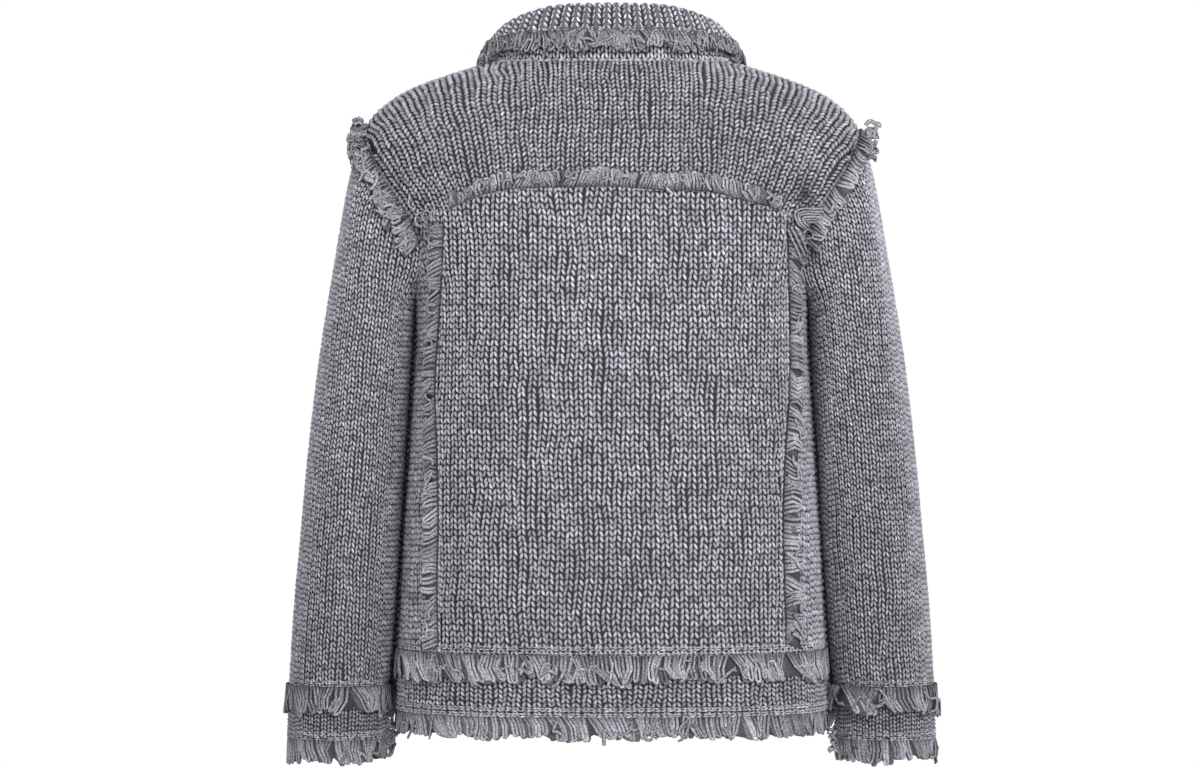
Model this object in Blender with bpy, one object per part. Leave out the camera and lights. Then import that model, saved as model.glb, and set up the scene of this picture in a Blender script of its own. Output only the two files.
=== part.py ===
"""Cardigan: a hollow, filled-out knitted garment with yarn fringe along its seams.

Metres, +Z up. The garment's front faces -Y and its left side is +X. The origin is the
middle of the neck base, level with the points where the shoulders meet the neck.
"""

import math
import random

import bpy
import numpy as np

# Cloth and seams
WALL = 0.003
SEAM_GAP = 0.0003
TRIM_LIFT = 0.0006
TRIM_THICKNESS = 0.0022

# Heights of the horizontal seams and edges
WAIST_SEAM = -0.525
HEM_EDGE = -0.578
CUFF_SEAM = -0.5575
CUFF_EDGE = -0.6045
FRONT_NECK_DROP = 0.062
BACK_NECK_DROP = 0.0015

# Front opening
BAND_HALF_WIDTH = 0.016
BAND_TUCK = 0.008
BUTTON_RADIUS = 0.0105
BUTTON_THICKNESS = 0.004
BUTTON_HEIGHTS = (-0.088, -0.181, -0.274, -0.367, -0.460, -0.552)

# Torso sections: height, half width, back depth, front depth, squareness
TORSO_SECTIONS = (
    (0.006, 0.0940, 0.0700, 0.0560, 2.00),
    (0.000, 0.1120, 0.0750, 0.0600, 2.00),
    (-0.011, 0.1470, 0.0850, 0.0660, 2.00),
    (-0.025, 0.1830, 0.0940, 0.0730, 2.02),
    (-0.040, 0.2060, 0.1010, 0.0800, 2.05),
    (-0.0585, 0.2210, 0.1065, 0.0870, 2.08),
    (-0.090, 0.2215, 0.1130, 0.0990, 2.14),
    (-0.120, 0.2130, 0.1175, 0.1100, 2.20),
    (-0.150, 0.2000, 0.1210, 0.1180, 2.26),
    (-0.180, 0.1860, 0.1240, 0.1240, 2.32),
    (-0.208, 0.1765, 0.1260, 0.1280, 2.36),
    (-0.235, 0.1745, 0.1270, 0.1290, 2.40),
    (-0.290, 0.1770, 0.1270, 0.1270, 2.45),
    (-0.350, 0.1805, 0.1260, 0.1240, 2.50),
    (-0.420, 0.1855, 0.1270, 0.1230, 2.50),
    (-0.490, 0.1890, 0.1290, 0.1240, 2.50),
    (-0.545, 0.1920, 0.1310, 0.1260, 2.50),
    (-0.580, 0.1930, 0.1320, 0.1270, 2.50),
    (-0.640, 0.1935, 0.1330, 0.1280, 2.50),
)

# Armhole round the left shoulder, one row each 22.5 degrees from the shoulder tip
# over the back to the underarm and up the front: angle round the torso, height
ARMHOLE = (
    (0.000, -0.0585),
    (0.105, -0.0690),
    (0.180, -0.0915),
    (0.272, -0.1165),
    (0.345, -0.1400),
    (0.380, -0.1630),
    (0.345, -0.1850),
    (0.205, -0.2020),
    (0.000, -0.2080),
    (-0.205, -0.2020),
    (-0.350, -0.1840),
    (-0.395, -0.1600),
    (-0.375, -0.1340),
    (-0.310, -0.1100),
    (-0.220, -0.0870),
    (-0.115, -0.0685),
)
UNDERARM = -0.208
SHOULDER_TIP = -0.0585
YOKE_CORNER = 96.0

# Yoke seam across the back, left to right: distance from the centre, height
YOKE_SEAM = (
    (0.1470, -0.1355),
    (0.1370, -0.1316),
    (0.1236, -0.1254),
    (0.0975, -0.1184),
    (0.0450, -0.1158),
    (0.0100, -0.1150),
    (-0.0430, -0.1180),
    (-0.0950, -0.1210),
    (-0.1130, -0.1262),
    (-0.1303, -0.1300),
    (-0.1538, -0.1370),
)

# Long back seams: height, distance of the left one and of the right one from the centre
BACK_SEAMS = (
    (-0.1355, 0.1470, 0.1538),
    (-0.190, 0.1490, 0.1552),
    (-0.240, 0.1520, 0.1562),
    (-0.291, 0.1550, 0.1560),
    (-0.340, 0.1535, 0.1525),
    (-0.410, 0.1520, 0.1500),
    (-0.465, 0.1530, 0.1512),
    (-0.530, 0.1515, 0.1530),
)

# Sleeve sections from the shoulder down: centre x, centre z, reach of the outer side
# from the centre in x and in z, half depth
SLEEVE_SECTIONS = (
    (0.2060, -0.1640, 0.0285, 0.0640, 0.0640),
    (0.2140, -0.2180, 0.0345, 0.0400, 0.0630),
    (0.2220, -0.2800, 0.0405, 0.0150, 0.0615),
    (0.2290, -0.3500, 0.0435, 0.0000, 0.0595),
    (0.2340, -0.4200, 0.0450, 0.0000, 0.0575),
    (0.2395, -0.4900, 0.0458, 0.0000, 0.0555),
    (0.2445, -0.5575, 0.0450, 0.0000, 0.0535),
)
CUFF_CENTRE = 0.2465
CUFF_HALF_WIDTH = 0.0450
CUFF_HALF_DEPTH = 0.0520

# Soft folds of the torso: angle and height of the middle, reach round and up, rise
TORSO_FOLDS = (
    (1.64, -0.390, 0.15, 0.055, -0.0024),
    (1.22, -0.455, 0.14, 0.050, 0.0018),
    (2.02, -0.330, 0.13, 0.060, 0.0016),
    (2.68, -0.128, 0.09, 0.020, -0.0022),
    (4.15, -0.330, 0.16, 0.070, -0.0028),
    (5.28, -0.420, 0.17, 0.070, -0.0026),
    (4.30, -0.460, 0.13, 0.050, 0.0020),
)

# Soft folds of the sleeve: turn and place of the middle, reach round and along, rise
SLEEVE_FOLDS = (
    (50.0, 1.7, 17.0, 0.9, 0.0030),
    (118.0, 3.5, 24.0, 0.7, -0.0024),
    (292.0, 3.1, 24.0, 0.6, -0.0030),
    (262.0, 4.0, 24.0, 0.5, 0.0020),
    (70.0, 5.2, 22.0, 0.7, 0.0016),
)

# Collar, by the angle from the centre back in degrees: height of the fold, how far the
# stand leans in, height of the leaf's edge, its distance from the stand, fringe share
COLLAR_SECTIONS = (
    (0.0, 0.0485, 0.0045, 0.0235, 0.0100, 1.00),
    (45.0, 0.0455, 0.0080, 0.0225, 0.0095, 1.00),
    (75.0, 0.0340, 0.0150, 0.0155, 0.0085, 0.60),
    (90.0, 0.0260, 0.0175, 0.0120, 0.0080, 0.45),
    (135.0, -0.0060, 0.0160, -0.0250, 0.0110, 0.50),
    (180.0, -0.0300, 0.0110, -0.0540, 0.0150, 0.90),
)
COLLAR_END = 6.0
COLLAR_RIBS = 54
RIB_RISE = 0.0012
FOLD_RADIUS = 0.0056

# Mesh steps
STEPS_BACK = 14
STEPS_SIDE = 5
STEPS_YOKE_ARM = 6
STEPS_LOWER_ARM = 5
STEPS_FRONT_ARM = 8
STEPS_SHOULDER = 4
STEPS_SIDE_SEAM = 7
STEPS_FRONT = 8
STEPS_BAND = 20
STEPS_HEM = 50
SLEEVE_ROWS = (0.0, 0.33, 0.66, 1.0, 1.5, 2.0, 2.6, 3.3, 4.2, 5.1, 6.0, 7.0)

# Fringe: locks, strip width, lock length, share of the pitch that a lock fills
FRINGES = {
    "fringe_yoke": (14, 0.0045, 0.0095, 0.62),
    "fringe_armhole": (17, 0.0050, 0.0110, 0.60),
    "fringe_back_seam": (16, 0.0045, 0.0125, 0.62),
    "fringe_waist": (38, 0.0055, 0.0190, 0.60),
    "fringe_hem": (38, 0.0050, 0.0150, 0.60),
    "fringe_collar": (18, 0.0040, 0.0120, 0.60),
    "fringe_cuff_seam": (9, 0.0050, 0.0175, 0.62),
    "fringe_cuff_edge": (9, 0.0045, 0.0145, 0.62),
}

# Colours: red, green, blue, roughness
KNIT_COLOUR = (0.205, 0.202, 0.232, 0.95)
BAND_COLOUR = (0.180, 0.178, 0.205, 0.95)
FRINGE_COLOUR = (0.330, 0.322, 0.350, 0.95)
BUTTON_COLOUR = (0.045, 0.045, 0.052, 0.45)

COLLECTION = "cardigan"


def clear_scene():
    for thing in list(bpy.data.objects):
        bpy.data.objects.remove(thing, do_unlink=True)


def curve(table, column, at):
    """Read one column of a table as a smooth curve of its first column."""
    rows = np.array(sorted(table))
    knots = rows[:, 0]
    values = rows[:, column]
    slopes = np.gradient(values, knots)
    at = np.clip(np.asarray(at, float), knots[0], knots[-1])
    low = np.clip(np.searchsorted(knots, at) - 1, 0, len(knots) - 2)
    span = knots[low + 1] - knots[low]
    t = (at - knots[low]) / span
    start = (1 + 2 * t) * (1 - t) ** 2 * values[low] + t * (1 - t) ** 2 * span * slopes[low]
    end = t * t * (3 - 2 * t) * values[low + 1] + t * t * (t - 1) * span * slopes[low + 1]
    return start + end


def unit(vectors):
    return vectors / np.linalg.norm(vectors, axis=-1, keepdims=True)


def torso(angle, height):
    """Point of the torso's outer face at an angle from +X and a height."""
    angle, height = np.broadcast_arrays(np.asarray(angle, float), np.asarray(height, float))
    half = curve(TORSO_SECTIONS, 1, height)
    back = curve(TORSO_SECTIONS, 2, height)
    front = curve(TORSO_SECTIONS, 3, height)
    power = curve(TORSO_SECTIONS, 4, height)
    depth = np.where(np.sin(angle) >= 0, back, front)
    across = (np.abs(np.cos(angle)) / half) ** power
    along = (np.abs(np.sin(angle)) / depth) ** power
    reach = (across + along) ** (-1 / power)
    for middle, level, wide, tall, rise in TORSO_FOLDS:
        away = (np.mod(angle - middle + math.pi, 2 * math.pi) - math.pi) / wide
        reach = reach + rise * np.exp(-away ** 2 - ((height - level) / tall) ** 2)
    return np.stack([reach * np.cos(angle), reach * np.sin(angle), height], axis=-1)


def torso_normal(angle, height):
    turn = 1e-4
    drop = 1e-5
    round_it = torso(angle + turn, height) - torso(angle - turn, height)
    up_it = torso(angle, height + drop) - torso(angle, height - drop)
    return unit(np.cross(round_it, up_it))


def body_angle(x, height, side):
    """Angle of the torso point at a distance x from the centre, side +1 back, -1 front."""
    half = curve(TORSO_SECTIONS, 1, height)
    depth = curve(TORSO_SECTIONS, 2 if side > 0 else 3, height)
    power = curve(TORSO_SECTIONS, 4, height)
    y = side * depth * np.maximum(1 - (np.abs(x) / half) ** power, 0) ** (1 / power)
    return np.arctan2(y, x)


def neck_height(angle):
    """Height of the neck seam: nearly level over the back, dropping at the front."""
    lean = np.sin(angle)
    front = FRONT_NECK_DROP * np.abs(np.minimum(lean, 0)) ** 1.6
    back = BACK_NECK_DROP * np.maximum(lean, 0) ** 2
    return -front - back


def armhole(turn):
    """Angle and height of the armhole at a turn in degrees from the shoulder tip."""
    rows = np.array(ARMHOLE)
    place = np.asarray(turn, float) / 360 * len(rows)
    low = np.floor(place).astype(int)
    t = (place - low)[..., None]
    before, here, after, beyond = (rows[(low + k) % len(rows)] for k in (-1, 0, 1, 2))
    smooth = 2 * here + (after - before) * t
    smooth = smooth + (2 * before - 5 * here + 4 * after - beyond) * t ** 2
    return 0.5 * (smooth + (3 * here - before - 3 * after + beyond) * t ** 3)


def run(start, end, steps):
    """Straight run of (angle, height) pairs."""
    return np.linspace(np.asarray(start, float), np.asarray(end, float), steps + 1)


def join(*runs):
    """Join runs end to end, keeping each shared corner once."""
    return np.concatenate([runs[0]] + [r[1:] for r in runs[1:]])


def mirrored(pairs):
    """The same (angle, height) pairs on the right side of the garment."""
    return np.stack([math.pi - pairs[:, 0], pairs[:, 1]], axis=-1)


def coons(bottom, top, left, right):
    """Blend four boundary runs into a grid of rows (going up) by columns (going round)."""
    s = np.linspace(0, 1, len(bottom))[None, :, None]
    v = np.linspace(0, 1, len(left))[:, None, None]
    between_sides = (1 - s) * left[:, None] + s * right[:, None]
    between_ends = (1 - v) * bottom[None] + v * top[None]
    corners = (1 - v) * ((1 - s) * bottom[0] + s * bottom[-1])
    corners = corners + v * ((1 - s) * top[0] + s * top[-1])
    return between_sides + between_ends - corners


def inset(points, normals, amount):
    """Draw the four edges of a grid in by the same amount, along the cloth."""
    shift = np.zeros_like(points)
    for turned in (False, True):
        grid = points.swapaxes(0, 1) if turned else points
        faces = normals.swapaxes(0, 1) if turned else normals
        move = shift.swapaxes(0, 1) if turned else shift
        for edge, inner in ((0, 1), (-1, -2)):
            along = np.gradient(grid[edge], axis=0)
            inward = unit(np.cross(faces[edge], along))
            ahead = np.sum(inward * (grid[inner] - grid[edge]), axis=-1, keepdims=True)
            move[edge] += inward * np.sign(ahead) * amount
    return points + shift


def quads(index, flip):
    """Faces of a grid of vertex numbers."""
    faces = []
    for low, high in zip(index[:-1], index[1:]):
        for a, b, c, d in zip(low[:-1], low[1:], high[1:], high[:-1]):
            faces.append((d, c, b, a) if flip else (a, b, c, d))
    return faces


def material(name, colour):
    made = bpy.data.materials.new(name)
    made.use_nodes = True
    shader = made.node_tree.nodes["Principled BSDF"]
    shader.inputs["Base Color"].default_value = (*colour[:3], 1.0)
    shader.inputs["Roughness"].default_value = colour[3]
    shader.inputs["Metallic"].default_value = 0.0
    return made


def halves(points, face):
    """Split a four-sided face along its shorter diagonal."""
    a, b, c, d = face
    if math.dist(points[a], points[c]) <= math.dist(points[b], points[d]):
        return [(a, b, c), (a, c, d)]
    return [(b, c, d), (b, d, a)]


def place(name, points, faces, colour):
    mesh = bpy.data.meshes.new(name)
    points = [tuple(map(float, p)) for p in points]
    mesh.from_pydata(points, [], [half for face in faces for half in halves(points, face)])
    mesh.update()
    mesh.shade_smooth()
    mesh.set_sharp_from_angle(angle=math.radians(50))
    thing = bpy.data.objects.new(name, mesh)
    mesh.materials.append(material(name, colour))
    bpy.data.collections[COLLECTION].objects.link(thing)
    return thing


def cloth(name, outer, inner, colour, wrap=False):
    """Closed wall between an outer and an inner grid of points."""
    rows, columns = outer.shape[:2]
    index = np.arange(rows * columns).reshape(rows, columns)
    under = index + rows * columns
    if wrap:
        index = np.concatenate([index, index[:, :1]], axis=1)
        under = np.concatenate([under, under[:, :1]], axis=1)
    faces = quads(index, False) + quads(under, True)
    faces += quads(np.stack([under[0], index[0]]), False)
    faces += quads(np.stack([index[-1], under[-1]]), False)
    if not wrap:
        faces += quads(np.stack([index[:, 0], under[:, 0]]), False)
        faces += quads(np.stack([under[:, -1], index[:, -1]]), False)
    points = np.concatenate([outer.reshape(-1, 3), inner.reshape(-1, 3)])
    return place(name, points, [tuple(map(int, f)) for f in faces], colour)


def panel(name, grid, colour=KNIT_COLOUR, depth=0.0):
    """Wall on the torso's form, its outer face at a depth under the torso's."""
    points = torso(grid[..., 0], grid[..., 1])
    normals = torso_normal(grid[..., 0], grid[..., 1])
    points = inset(points, normals, SEAM_GAP / 2)
    return cloth(name, points - depth * normals, points - (depth + WALL) * normals, colour)


def back_seam(side, heights):
    """Run up a long back seam, side +1 for the left one and -1 for the right one."""
    x = side * curve(BACK_SEAMS, 1 if side > 0 else 2, heights)
    return np.stack([body_angle(x, heights, 1), heights], axis=-1)


def yoke_seam_run(steps):
    """Run along the yoke seam from the left back seam to the right one."""
    x = np.linspace(YOKE_SEAM[0][0], YOKE_SEAM[-1][0], steps + 1)
    heights = curve(YOKE_SEAM, 1, x)
    return np.stack([body_angle(x, heights, 1), heights], axis=-1)


def ring_angles(height, start, end, steps):
    """Angles that cut one torso section into equal lengths."""
    fine = np.linspace(start, end, 400)
    edges = np.linalg.norm(np.diff(torso(fine, height), axis=0), axis=1)
    length = np.concatenate([[0], np.cumsum(edges)])
    return np.interp(np.linspace(0, length[-1], steps + 1), length, fine)


def level_run(height, start, end, steps):
    angles = ring_angles(height, start, end, steps)
    return np.stack([angles, np.full_like(angles, height)], axis=-1)


def neck_run(start, end, steps):
    fine = np.linspace(start, end, 400)
    edges = np.linalg.norm(np.diff(torso(fine, neck_height(fine)), axis=0), axis=1)
    length = np.concatenate([[0], np.cumsum(edges)])
    angles = np.interp(np.linspace(0, length[-1], steps + 1), length, fine)
    return np.stack([angles, neck_height(angles)], axis=-1)


def side_heights(top):
    """Heights of the rows that the back panel shares with a back side."""
    lower = np.linspace(WAIST_SEAM, UNDERARM - 0.006, STEPS_SIDE_SEAM + 1)
    upper = np.linspace(lower[-1], top, STEPS_LOWER_ARM + 1)
    return np.concatenate([lower, upper[1:]])


def build_back():
    yoke_line = yoke_seam_run(STEPS_BACK)
    left_heights = side_heights(yoke_line[0, 1])
    right_heights = side_heights(yoke_line[-1, 1])
    left_seam = back_seam(1, left_heights)
    right_seam = back_seam(-1, right_heights)
    waist = level_run(WAIST_SEAM, left_seam[0, 0], right_seam[0, 0], STEPS_BACK)
    panel("back_panel", coons(waist, yoke_line, left_seam, right_seam))

    corner = armhole(YOKE_CORNER)
    left_top = run(corner, yoke_line[0], STEPS_SIDE)
    right_corner = mirrored(corner[None])[0]
    right_top = run(yoke_line[-1], right_corner, STEPS_SIDE)
    under = armhole(np.linspace(180.0, YOKE_CORNER, STEPS_LOWER_ARM + 1))
    outer = join(run((0.0, WAIST_SEAM), (0.0, UNDERARM), STEPS_SIDE_SEAM), under)
    left_waist = level_run(WAIST_SEAM, 0.0, left_seam[0, 0], STEPS_SIDE)
    right_waist = level_run(WAIST_SEAM, right_seam[0, 0], math.pi, STEPS_SIDE)
    panel("back_side_L", coons(left_waist, left_top, outer, left_seam))
    panel("back_side_R", coons(right_waist, right_top, right_seam, mirrored(outer)))

    over = armhole(np.linspace(YOKE_CORNER, 0.0, STEPS_YOKE_ARM + 1))
    left = join(over, run((0.0, SHOULDER_TIP), (0.0, 0.0), STEPS_SHOULDER))
    bottom = join(left_top, yoke_line, right_top)
    neck = neck_run(0.0, math.pi, len(bottom) - 1)
    panel("back_yoke", coons(bottom, neck, left, mirrored(left)))


def build_fronts():
    side_seam = run((0.0, WAIST_SEAM), (0.0, UNDERARM), STEPS_SIDE_SEAM)
    arm = armhole(np.linspace(180.0, 360.0, STEPS_FRONT_ARM + 1))
    shoulder = run((0.0, SHOULDER_TIP), (0.0, 0.0), STEPS_SHOULDER)
    outer = join(side_seam, arm, shoulder)
    steps = len(outer) - 1
    edge_x = BAND_HALF_WIDTH + SEAM_GAP / 2
    top = -FRONT_NECK_DROP
    level = WAIST_SEAM + (outer[:, 1] - WAIST_SEAM) * (top - WAIST_SEAM) / -WAIST_SEAM
    even = np.linspace(WAIST_SEAM, top, steps + 1)
    heights = 0.5 * level + 0.5 * even
    edge = np.stack([body_angle(edge_x, heights, -1), heights], axis=-1)
    edge[-1, 1] = neck_height(edge[-1, 0])
    waist = level_run(WAIST_SEAM, edge[0, 0], 0.0, STEPS_FRONT)
    neck = neck_run(edge[-1, 0], 0.0, STEPS_FRONT)
    grid = coons(waist, neck, edge, outer)
    panel("front_L", grid)
    flipped = grid[:, ::-1].copy()
    flipped[..., 0] = math.pi - flipped[..., 0]
    panel("front_R", flipped)


def build_front_bands():
    for name, left, right, depth in (
        ("front_band_outer", BAND_HALF_WIDTH, -BAND_HALF_WIDTH, 0.0),
        ("front_band_inner", BAND_HALF_WIDTH + BAND_TUCK, -BAND_HALF_WIDTH, WALL + 1.6 * SEAM_GAP),
    ):
        across = np.linspace(right, left, 4)
        rows = np.linspace(HEM_EDGE, -FRONT_NECK_DROP - SEAM_GAP, STEPS_BAND + 1)
        x, heights = np.meshgrid(across, rows)
        panel(name, np.stack([body_angle(x, heights, -1), heights], axis=-1), BAND_COLOUR, depth)


def build_hem_band():
    edge_x = BAND_HALF_WIDTH + SEAM_GAP
    start = float(body_angle(edge_x, WAIST_SEAM, -1))
    rows = [level_run(h, start, math.pi - start, STEPS_HEM)
            for h in np.linspace(HEM_EDGE, WAIST_SEAM, 3)]
    panel("hem_band", np.stack(rows), BAND_COLOUR)


def sleeve_ring(row, turn):
    """Point of one sleeve section at a turn in degrees, 0 outside, 90 behind."""
    centre_x, centre_z, reach_x, reach_z, depth = row
    cos = np.cos(np.radians(turn))
    sin = np.sin(np.radians(turn))
    return np.stack([centre_x + reach_x * cos, depth * sin, centre_z + reach_z * cos], axis=-1)


def sleeve(turn, place_along):
    """Point of the left sleeve, from 0 at the armhole to 7 at the cuff seam."""
    turn = np.asarray(turn, float)
    seam = armhole(turn)
    rings = [torso(seam[..., 0], seam[..., 1])]
    rings += [sleeve_ring(row, turn) for row in SLEEVE_SECTIONS]
    rings = np.stack(rings)
    slopes = np.gradient(rings, axis=0)
    low = int(min(math.floor(place_along), len(rings) - 2))
    t = place_along - low
    start = (1 + 2 * t) * (1 - t) ** 2 * rings[low] + t * (1 - t) ** 2 * slopes[low]
    end = t * t * (3 - 2 * t) * rings[low + 1] + t * t * (t - 1) * slopes[low + 1]
    rise = np.zeros_like(turn)
    for middle, level, wide, tall, height in SLEEVE_FOLDS:
        away = (np.mod(turn - middle + 180.0, 360.0) - 180.0) / wide
        rise = rise + height * np.exp(-away ** 2 - ((place_along - level) / tall) ** 2)
    facing = np.stack([np.cos(np.radians(turn)), np.sin(np.radians(turn)), 0 * turn], axis=-1)
    return start + end + facing * rise[..., None]


def sleeve_normal(turn, place_along):
    step = 0.02
    low = max(place_along - step, 0.0)
    high = min(place_along + step, float(len(SLEEVE_SECTIONS)))
    round_it = sleeve(turn + 1.0, place_along) - sleeve(turn - 1.0, place_along)
    down_it = sleeve(turn, high) - sleeve(turn, low)
    return unit(np.cross(down_it, round_it))


def seam_frame(turn):
    """Torso normal at the armhole, and the way along the torso into the armhole."""
    seam = armhole(turn)
    normal = torso_normal(seam[..., 0], seam[..., 1])
    around = armhole(turn + 1.0) - armhole(turn - 1.0)
    ahead = torso(seam[..., 0] + around[..., 0], seam[..., 1] + around[..., 1])
    along = ahead - torso(seam[..., 0], seam[..., 1])
    return normal, unit(np.cross(along, normal))


def clear_of_seam(turn):
    """Shift of the sleeve's first ring that keeps its wall off the torso's wall."""
    normal, inward = seam_frame(turn)
    leaving = unit(sleeve(turn, 0.1) - sleeve(turn, 0.0))
    rise = np.sum(leaving * normal, axis=-1, keepdims=True)
    onward = np.sum(leaving * inward, axis=-1, keepdims=True)
    lift = np.where(onward > 0, np.clip(rise, 0, 1), 1.0)
    dip = 1.3 * WALL * np.clip(-rise, 0, 1)
    return (SEAM_GAP + dip) * inward + SEAM_GAP * lift * normal


def arm_turns():
    return np.concatenate([
        np.linspace(0.0, YOKE_CORNER, STEPS_YOKE_ARM + 1)[:-1],
        np.linspace(YOKE_CORNER, 180.0, STEPS_LOWER_ARM + 1)[:-1],
        np.linspace(180.0, 360.0, STEPS_FRONT_ARM + 1)[:-1],
    ])


def cuff_ring(turn, height):
    """Point of the left cuff's outer face."""
    last = SLEEVE_SECTIONS[-1]
    share = (CUFF_SEAM - np.asarray(height, float)) / (CUFF_SEAM - CUFF_EDGE)
    cos = np.cos(np.radians(turn))
    sin = np.sin(np.radians(turn))
    x = last[0] + (CUFF_CENTRE - last[0]) * share
    x = x + (last[2] + (CUFF_HALF_WIDTH - last[2]) * share) * cos
    y = (last[4] + (CUFF_HALF_DEPTH - last[4]) * share) * sin
    return np.stack(np.broadcast_arrays(x, y, height), axis=-1)


def cuff_normal(turn):
    last = SLEEVE_SECTIONS[-1]
    cos = np.cos(np.radians(turn)) / last[2]
    sin = np.sin(np.radians(turn)) / last[4]
    return unit(np.stack([cos, sin, np.zeros_like(cos)], axis=-1))


def both_sides(name, outer, inner, colour, wrap=True):
    """The left piece as given and the right one as its mirror image."""
    cloth(name + "_L", outer, inner, colour, wrap)
    flip = np.array([-1.0, 1.0, 1.0])
    cloth(name + "_R", outer[:, ::-1] * flip, inner[:, ::-1] * flip, colour, wrap)


def build_sleeves():
    turns = arm_turns()
    outer = np.stack([sleeve(turns, k) for k in SLEEVE_ROWS])
    normals = np.stack([sleeve_normal(turns, k) for k in SLEEVE_ROWS])
    outer[0] += clear_of_seam(turns)
    outer[-1, :, 2] += SEAM_GAP / 2
    both_sides("sleeve", outer[::-1], (outer - WALL * normals)[::-1], KNIT_COLOUR)
    heights = np.linspace(CUFF_EDGE, CUFF_SEAM - SEAM_GAP / 2, 3)
    cuff = np.stack([cuff_ring(turns, h) for h in heights])
    both_sides("cuff", cuff, cuff - WALL * cuff_normal(turns), BAND_COLOUR)


def collar_angles(steps):
    """Angles round the collar from its left front end over the back to the right one."""
    end = math.radians(COLLAR_END)
    return np.linspace(-math.pi / 2 + end, 1.5 * math.pi - end, steps + 1)


def collar_guides(angle):
    """Neck seam, fold and leaf edge points, the level way out, and the stand's two axes."""
    from_back = np.abs(np.degrees(angle) - 90.0)
    values = [curve(COLLAR_SECTIONS, k, from_back) for k in (1, 2, 3, 4)]
    fold_height, lean, edge_height, off = values
    out = np.stack([np.cos(angle), np.sin(angle), np.zeros_like(angle)], axis=-1)
    up = np.array([0.0, 0.0, 1.0])
    base_height = neck_height(angle)
    neck = torso(angle, base_height)
    reach = np.linalg.norm(neck[:, :2], axis=-1)
    fold = out * (reach - lean)[:, None] + up * fold_height[:, None]
    rising = unit(fold - neck)
    facing = out * rising[:, 2:] - up * np.sum(rising * out, axis=-1, keepdims=True)
    share = (edge_height - base_height) / (fold_height - base_height)
    edge = neck + (fold - neck) * share[:, None] + facing * off[:, None]
    return neck, fold, edge, out, rising, facing


def build_collar():
    angles = collar_angles(COLLAR_RIBS)
    neck, fold, edge, out, rising, facing = collar_guides(angles)
    normal = torso_normal(angles, neck_height(angles))
    base = neck + 3 * SEAM_GAP * normal - 3 * SEAM_GAP * out
    top = fold - rising * (FOLD_RADIUS + 2 * SEAM_GAP) + facing * WALL / 2
    outer = np.stack([base, 0.5 * base + 0.5 * top, top])
    cloth("collar_stand", outer, outer - WALL * facing, KNIT_COLOUR)

    angles = collar_angles(2 * COLLAR_RIBS)
    neck, fold, edge, out, rising, facing = collar_guides(angles)
    centre = fold - rising * FOLD_RADIUS
    start = centre + facing * FOLD_RADIUS
    sections = [edge, 0.5 * start + 0.5 * edge + 0.0015 * facing]
    for turn in (20, 90, 160):
        cos = math.cos(math.radians(turn))
        sin = math.sin(math.radians(turn))
        sections.append(centre + FOLD_RADIUS * (cos * facing + sin * rising))
    sections.append(centre - FOLD_RADIUS * facing - 0.003 * rising)
    plain = np.stack(sections)
    along = np.gradient(plain, axis=0)
    around = np.gradient(plain, axis=1)
    normals = unit(np.cross(around, along))
    normals[0] = out
    rib = np.where(np.arange(len(angles)) % 2 == 1, RIB_RISE, 0.0)[None, :, None]
    cloth("collar_leaf", plain + rib * normals, plain - WALL * normals, KNIT_COLOUR)


def comb(name, kind, point, spread, seed, wrap=False):
    """Strip with locks that stand apart. point gives (place, drop, lift) in metres."""
    locks, strip, length, fill = FRINGES[kind]
    dice = random.Random(seed)
    points = []
    faces = []

    def add(at, drop, tuft=0.0):
        first = len(points)
        points.append(point(at, drop, TRIM_LIFT + tuft))
        points.append(point(at, drop, TRIM_LIFT + TRIM_THICKNESS + tuft))
        return first, first + 1

    ladders = []
    for lock in range(locks):
        for edge in (-0.5, 0.5):
            at = (lock + 0.5 + edge * fill) / locks
            ladders.append((add(at, 0.0), add(at, strip)))
    pairs = list(zip(ladders[:-1], ladders[1:]))
    if wrap:
        pairs.append((ladders[-1], ladders[0]))
    for number, (this, after) in enumerate(pairs):
        (root_in, root_out), (foot_in, foot_out) = this
        (next_in, next_out), (end_in, end_out) = after
        faces.append((foot_out, end_out, next_out, root_out))
        faces.append((root_in, next_in, end_in, foot_in))
        faces.append((root_out, next_out, next_in, root_in))
        if number % 2 == 1:
            faces.append((foot_in, end_in, end_out, foot_out))
            continue
        lock = number // 2
        drop = strip + length * dice.uniform(0.78, 1.15)
        lean = dice.uniform(-0.25, 0.25) / locks
        middle = (lock + 0.5) / locks + lean
        half = 0.30 * fill / locks
        tuft = spread * dice.uniform(0.6, 1.3)
        tip_in, tip_out = add(middle - half, drop, tuft)
        far_in, far_out = add(middle + half, drop, tuft)
        faces.append((tip_out, far_out, end_out, foot_out))
        faces.append((foot_in, end_in, far_in, tip_in))
        faces.append((tip_in, tip_out, foot_out, foot_in))
        faces.append((end_in, end_out, far_out, far_in))
        faces.append((tip_in, far_in, far_out, tip_out))
    if not wrap:
        (root_in, root_out), (foot_in, foot_out) = ladders[0]
        faces.append((root_in, foot_in, foot_out, root_out))
        (root_in, root_out), (foot_in, foot_out) = ladders[-1]
        faces.append((foot_in, root_in, root_out, foot_out))
    return place(name, points, faces, FRINGE_COLOUR)


def between(start, end, share):
    return start + (end - start) * share


def on_torso(angle, height, lift):
    return torso(angle, height) + lift * torso_normal(angle, height)


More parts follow.
